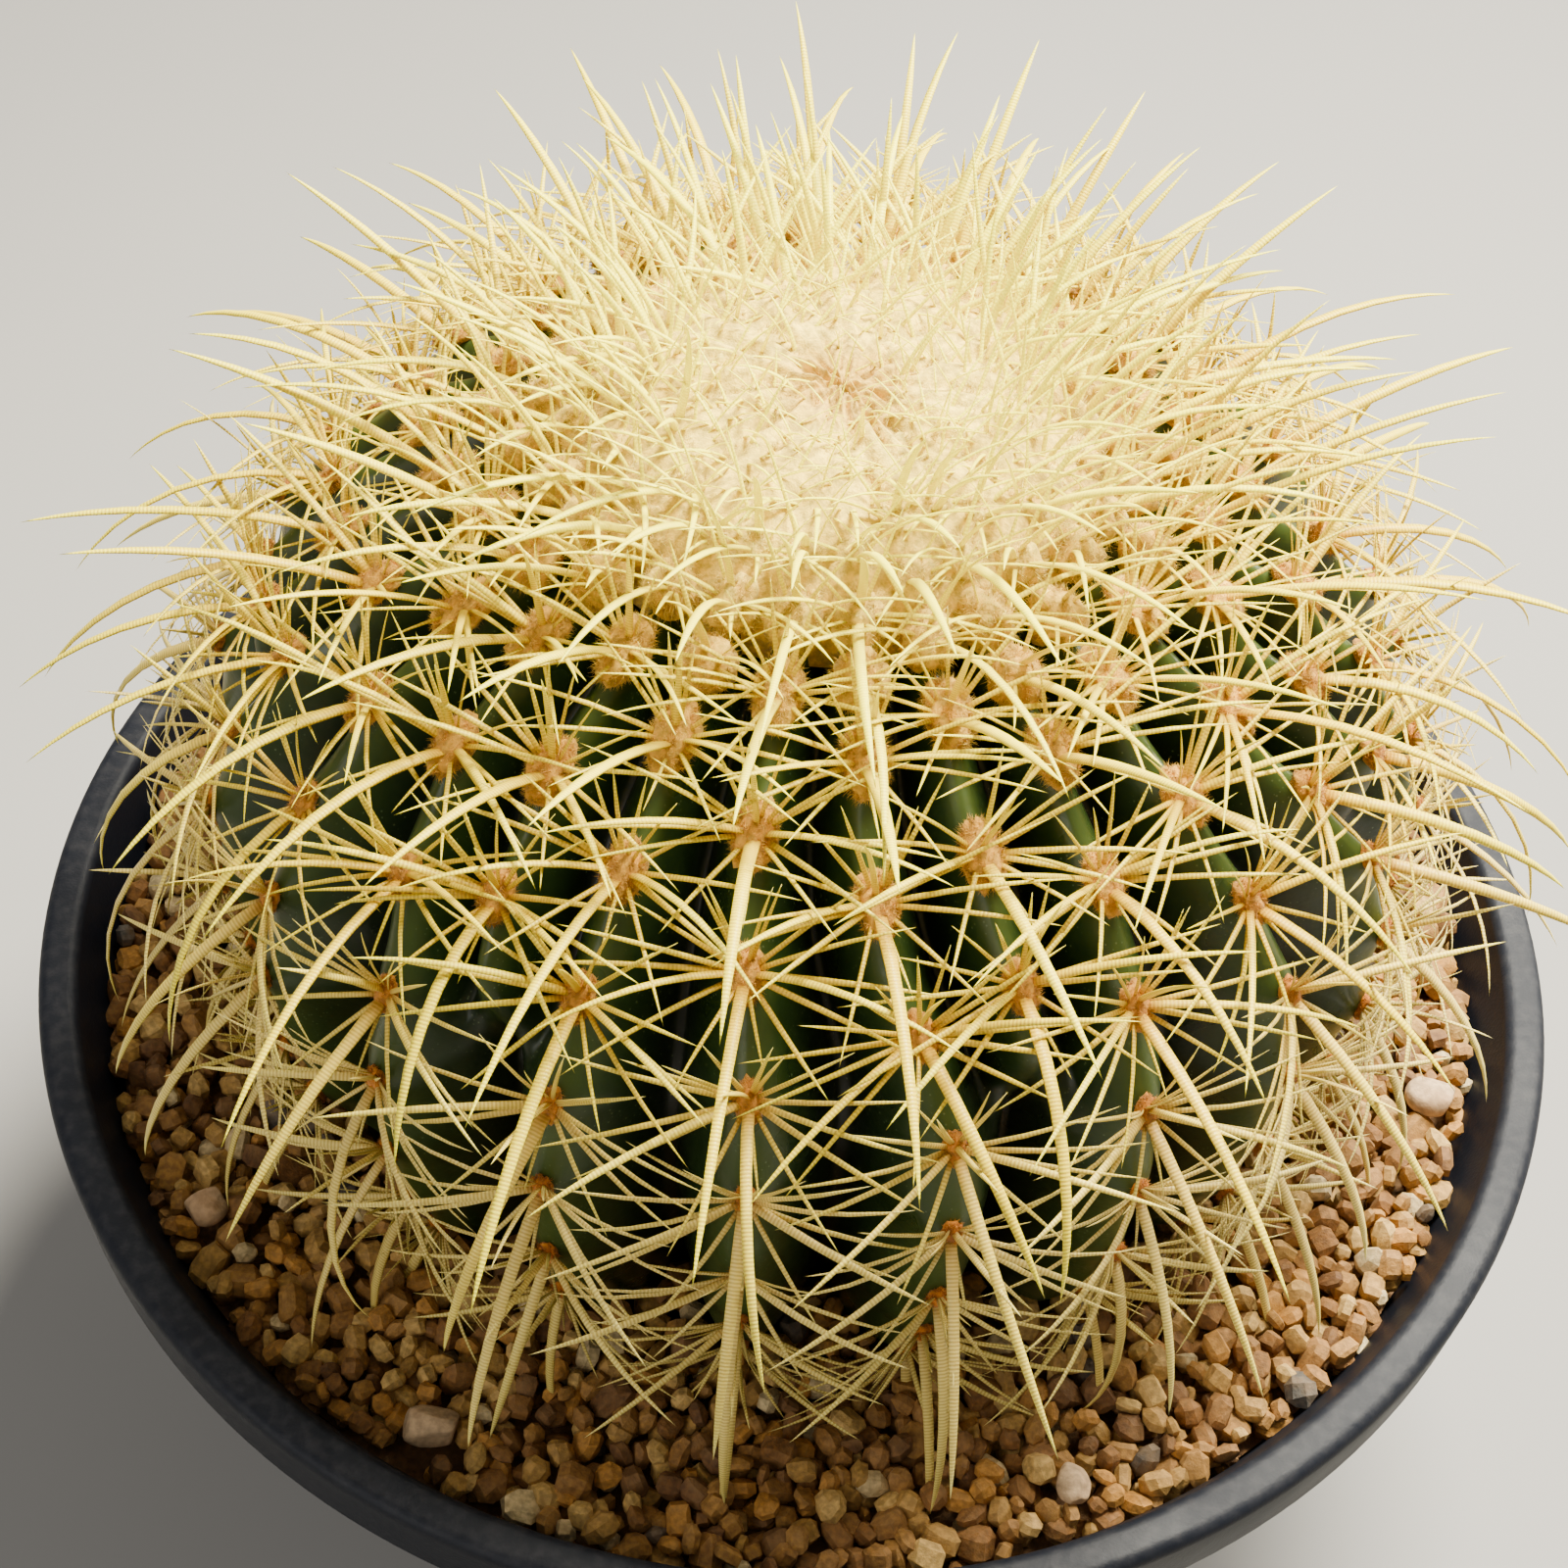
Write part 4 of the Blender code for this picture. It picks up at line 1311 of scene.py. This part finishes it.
# Painted shade: the cushion's tint drops towards the crown's middle, into its dimple.
set_values(cushion, "tint", 0.3 - 0.25 * smooth_step(levels, 75, 82))
smooth(cushion)
settle(cushion, wool, "wool", "crown_wool")
print("crown cushion:", len(cushion.data.polygons), "faces")

# %% Crown hair
CROWN_DENSITY = 5.5             # hairs to the square millimetre
cover_with_felt("crown_hair", young_pads, CROWN_DENSITY, 60, lambda ribs: ["crown_wool"])
# %% [markdown]
# ## The grit
# The pot is filled with mineral grains of three to seven millimetres, ochre, tan and brown, with a few
# pale and grey ones. A grain starts as a cube: its edges are bevelled, and its points are moved a little
# at random, which gives a worn stone with few faces. Seven of them are enough, as copies are turned.

# %% Grain models
GRAIN_KINDS = 7
GRAIN_BEVEL = (0.20, 0.02)      # of the first kind, and how much more for each next one
GRAIN_JITTER = 0.11
GRAIN_MODELS = []
for number in range(GRAIN_KINDS):
    clear_selection()
    bpy.ops.mesh.primitive_cube_add(size=1.0)
    grain = bpy.context.object
    edit_mode("EDGE")
    bpy.ops.mesh.select_all(action="SELECT")
    bevel = GRAIN_BEVEL[0] + GRAIN_BEVEL[1] * number
    bpy.ops.mesh.bevel(offset=bevel, segments=1, affect="EDGES")
    bpy.ops.mesh.select_all(action="SELECT")
    bpy.ops.transform.vertex_random(offset=GRAIN_JITTER, uniform=0.0, normal=0.0, seed=11 + number)
    object_mode()
    GRAIN_MODELS.append(model_arrays(grain))
print("grain models:", len(GRAIN_MODELS), "of", len(GRAIN_MODELS[0][1]), "faces")

# %% [markdown]
# The bed's lower part is one turned solid with a hollow for the stem's foot. On it grains are dropped
# one by one: a height map remembers how high the pile is, and each grain comes to rest on what lies
# under it. A physics simulation would do the same, but it takes far longer and is harder to repeat.

# %% Grit bed
BED_DROP = 0.0075               # the solid's top lies this much under the grit's
GAP = 0.0003                    # between the solid and its neighbours
HOLLOW_LEVEL = -84
HOLLOW_POINTS = 12
bed_top = grit_top - BED_DROP
bed_level = math.degrees(math.asin((bed_top - waist_z) / foot_depth))
hollow = [(float(crest_radius(level)) + GAP, float(crest_height(level)) - GAP)
          for level in np.linspace(HOLLOW_LEVEL, bed_level, HOLLOW_POINTS)]
bed_section = hollow + [(pot_inner_radius(bed_top) - GAP, bed_top)]
bed_section += [(pot_inner_radius(POT_FLOOR + GAP) - GAP, POT_FLOOR + GAP)]
bed = turn_section("grit_bed_body", bed_section, 96)
smooth(bed, 35)
print("grit bed body:", len(bed.data.polygons), "faces")

# %% Where a grain may lie
PLACES_PER_RIB = 24


def stem_radius_at_grit():
    """Azimuths and radii of the stem's surface at the level of the grit."""
    rib, place = np.divmod(np.arange(RIBS * PLACES_PER_RIB), PLACES_PER_RIB)
    fraction = place / PLACES_PER_RIB
    level = np.full(len(place), grit_level + 1.0)
    azimuth = between_ribs(rib, fraction, level)
    radius = crest_radius(level) * (1 - RIB_DEPTH / waist_radius * relief_share(rib, fraction, level))
    order = np.argsort(azimuth % 360)
    return (azimuth % 360)[order], radius[order]


ring_azimuth, ring_radius = stem_radius_at_grit()


def free_radius(azimuth):
    return np.interp(azimuth % 360, ring_azimuth, ring_radius, period=360)


print("the stem is", round(2000 * float(ring_radius.max())), "mm wide at the grit")


# %% The pile's height map
CELL = 0.001
SEAT = 0.40                     # reach over which a grain feels what lies under it, in grain sizes
SEAT_PERCENT = 72               # it rests at the height that 72 cells in 100 there stay below
CAP = 0.38                      # height of a grain's rounded top over its centre, in grain sizes


class Pile:
    """A height map of the bed, which grains are dropped on."""

    def __init__(self):
        self.count = int(2 * lip_radius / CELL)
        self.heights = np.full((self.count, self.count), bed_top)

    def span(self, value, reach):
        """The cells within reach of a place along one side, and how far from it each one's middle is."""
        centre = int((value + lip_radius) / CELL)
        cells = max(int(reach / CELL), 1)
        found = slice(max(centre - cells, 0), centre + cells + 1)
        middles = (np.arange(found.start, min(found.stop, self.count)) + 0.5) * CELL - lip_radius
        return found, middles - value

    def window(self, x, y, reach):
        rows, offset_x = self.span(x, reach)
        columns, offset_y = self.span(y, reach)
        return rows, columns, np.hypot(offset_x[:, None], offset_y[None])

    def rest_height(self, x, y, size):
        rows, columns, distance = self.window(x, y, size * SEAT)
        under = self.heights[rows, columns][distance < size * SEAT]
        return float(np.percentile(under, SEAT_PERCENT)) if len(under) else bed_top

    def add(self, x, y, size, centre):
        rows, columns, distance = self.window(x, y, size * 0.5)
        cap = centre + CAP * size * np.sqrt(np.clip(1 - (distance / (size * 0.5)) ** 2, 0, 1))
        heights = self.heights[rows, columns]
        self.heights[rows, columns] = np.where(distance < size * 0.5, np.maximum(heights, cap), heights)


STONE_NODES = sorted(name for name in frame["nodes"] if name.startswith("surface_stone"))
pile = Pile()
for name in STONE_NODES:
    low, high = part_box(name)
    middle = (low + high) / 2
    pile.add(middle.x, middle.y, max(high.x - low.x, high.y - low.y), grit_top)
print("the pile's map has", pile.heights.size, "cells and starts with", len(STONE_NODES), "stones")

# %% Dropping the grains
GRAIN_SIZE = (0.0032, 0.0076)
GRAIN_TRIES = 16000
INNERMOST = 0.070               # no grain lies nearer to the middle
WALL_ROOM = 0.45                # room from a grain's centre to the wall, in grain sizes
STEM_ROOM = 0.22                # and to the stem
SINK = 0.34                     # height of a grain's centre over its seat, in grain sizes
TOP_SHARE = 0.36                # a grain is left out where this share of its size rises past the grit's top
TOP_ROOM = 0.0004               # by more than this
rng = np.random.default_rng(21)
grains = []
for attempt in range(GRAIN_TRIES):
    size = float(GRAIN_SIZE[0] + (GRAIN_SIZE[1] - GRAIN_SIZE[0]) * rng.beta(1.8, 2.4))
    azimuth = rng.uniform(0, 360)
    outermost = pot_inner_radius(grit_top) - WALL_ROOM * size
    distance = math.sqrt(rng.uniform(INNERMOST**2, outermost**2))
    if distance < free_radius(azimuth) + STEM_ROOM * size:
        continue
    x = distance * math.sin(math.radians(azimuth))
    y = -distance * math.cos(math.radians(azimuth))
    rest = pile.rest_height(x, y, size)
    if rest + TOP_SHARE * size > grit_top + TOP_ROOM:
        continue
    centre = rest + SINK * size
    pile.add(x, y, size, centre)
    grains.append((x, y, centre, size))
print("grains dropped:", len(grains))


# %% Placing the grains
def random_turns(count, rng):
    """Random rotation matrices."""
    quaternions = rng.standard_normal((count, 4))
    w, x, y, z = (quaternions / np.linalg.norm(quaternions, axis=1)[:, None]).T
    return np.stack([
        1 - 2 * (y * y + z * z), 2 * (x * y - z * w), 2 * (x * z + y * w),
        2 * (x * y + z * w), 1 - 2 * (x * x + z * z), 2 * (y * z - x * w),
        2 * (x * z - y * w), 2 * (y * z + x * w), 1 - 2 * (x * x + y * y)], -1).reshape(-1, 3, 3)


def place_grains(name, chosen, seed):
    rng = np.random.default_rng(seed)
    chosen = np.array(chosen)
    kinds = rng.integers(0, len(GRAIN_MODELS), len(chosen))
    parts, tints = [], []
    for kind, (points, faces) in enumerate(GRAIN_MODELS):
        mine = chosen[kinds == kind]
        shape = rng.uniform((0.90, 0.66, 0.52), (1.15, 0.95, 0.85), (len(mine), 3))
        local = points[None] * (shape * mine[:, 3:4])[:, None]
        turned = np.einsum("nij,nvj->nvi", random_turns(len(mine), rng), local)
        parts.append(((turned + mine[:, None, :3]).reshape(-1, 3), faces, len(mine)))
        tints.append(np.repeat(rng.random(len(mine)), len(points)))
    piece = join_parts(name, parts, {"tint": tints})
    smooth(piece, 28)
    return piece


# %% [markdown]
# Each grain has one random number, and a stepped ramp turns it into one of the bed's colours. Dust,
# specks and a rough, pitted surface come on top.

# %% Grit finish
# Painted shade: the bed's solid is given this dark step, so that the gaps between the grains look shaded.
GAP_SHADE_TINT = 0.9                  # the dark step of the colours below, for the gaps between grains
grit, tree, shader = finish("grit", 0.78)
tone = ramp(tree, stored(tree, "tint"), [
    (0.0, (0.30, 0.145, 0.028)), (0.16, (0.37, 0.205, 0.046)), (0.32, (0.20, 0.085, 0.016)),
    (0.48, (0.40, 0.180, 0.026)), (0.62, (0.26, 0.120, 0.024)), (0.74, (0.50, 0.31, 0.088)),
    (0.86, (0.13, 0.055, 0.013)), (0.955, (0.54, 0.41, 0.20)), (0.985, (0.075, 0.065, 0.052))],
    interpolation="CONSTANT")
specks = group_node(tree, SPECKLE, Scale=900.0, Low=0.38, High=0.66)
toned = group_node(tree, TINT, Color=tone, Mask=specks, Amount=0.55)
patches = group_node(tree, SPECKLE, Scale=210.0, Low=0.40, High=0.72)
patched = mix_colors(tree, math_node(tree, "MULTIPLY", patches, 0.30), toned, (0.46, 0.26, 0.09))
feed(tree, shader.inputs["Base Color"], patched)
bump(tree, shader, group_node(tree, RELIEF, Coarse=700.0, Fine=2600.0, Share=0.5), 0.6, 0.0004)
print("grit finish:", len(tree.nodes), "nodes")

# %% The bed and its grains
settle(bed, grit, "grit", "grit_bed")
# Painted shade: the bed's solid takes the dark step, which shows in the gaps between the grains.
set_values(bed, "tint", np.full(len(bed.data.vertices), GAP_SHADE_TINT))
grains.sort()
half = len(grains) // 2
for name, chosen in (("grit_grains_left", grains[:half]), ("grit_grains_right", grains[half:])):
    piece = place_grains(name, chosen, len(chosen))
    settle(piece, grit, "grit", "grit_bed")
    print(name, len(piece.data.polygons), "faces")

# %% [markdown]
# ## Larger stones
# A few pale stones, larger than the rest, lie on the surface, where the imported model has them. Each is
# a ball with flats cut off it by planes, whose edges are then worn down by a remesh and a smoothing.

# %% Stone finish
pale_stone, tree, shader = finish("pale_stone", 0.85)
specks = group_node(tree, SPECKLE, Scale=700.0, Low=0.36, High=0.66)
toned = group_node(tree, TINT, Color=(0.46, 0.31, 0.17), Mask=specks, Amount=0.5)
veins = group_node(tree, SPECKLE, Scale=160.0, Low=0.45, High=0.62)
veined = mix_colors(tree, math_node(tree, "MULTIPLY", veins, 0.5), toned, (0.40, 0.22, 0.10))
feed(tree, shader.inputs["Base Color"], veined)
bump(tree, shader, group_node(tree, RELIEF, Coarse=500.0, Fine=2200.0, Share=0.5), 0.5, 0.0004)
print("stone finish:", len(tree.nodes), "nodes")

# %% Surface stones
STONE_CUTS = 9
CUT_RANGE = (0.34, 0.44)        # distance of a cut from the middle of a ball 1 wide
STONE_VOXEL = 0.035
STONE_SINK = 0.0012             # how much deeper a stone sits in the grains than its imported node


def cut_flats(dice):
    """Cuts the ball in edit mode with planes that face every way, and fills each cut."""
    for cut in range(STONE_CUTS):
        facing = Vector([dice.gauss(0, 1) for axis in range(3)]).normalized()
        bpy.ops.mesh.select_all(action="SELECT")
        bpy.ops.mesh.bisect(plane_co=facing * dice.uniform(*CUT_RANGE), plane_no=facing,
                            use_fill=True, clear_outer=True)


for number, name in enumerate(STONE_NODES):
    low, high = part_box(name)
    clear_selection()
    bpy.ops.mesh.primitive_ico_sphere_add(subdivisions=4, radius=0.5)
    stone = bpy.context.object
    stone.name = f"pale_{name}"
    edit_mode("FACE")
    cut_flats(random.Random(70 + number))
    object_mode()
    apply_modifier(stone, "REMESH", mode="VOXEL", voxel_size=STONE_VOXEL)
    apply_modifier(stone, "SMOOTH", iterations=4)
    points = points_of(stone)
    points -= (points.max(0) + points.min(0)) / 2
    points /= points.max(0) - points.min(0)
    middle = np.array((low + high) / 2) - np.array([0, 0, STONE_SINK])
    set_points(stone, points * np.array(high - low) + middle)
    smooth(stone)
    settle(stone, pale_stone, "pale_stone", name)
print("stones:", len(STONE_NODES))

# %% [markdown]
# ## Triangles
# The triangles of all the pieces that are shown are counted. The visual model has to fill the imported
# model's box and go only a little past it.

# %% Triangles in all
triangles = 0
for item in bpy.data.objects:
    if item.type == "MESH" and not item.hide_render:
        triangles += sum(len(polygon.vertices) - 2 for polygon in item.data.polygons)
print("triangles in all:", triangles)
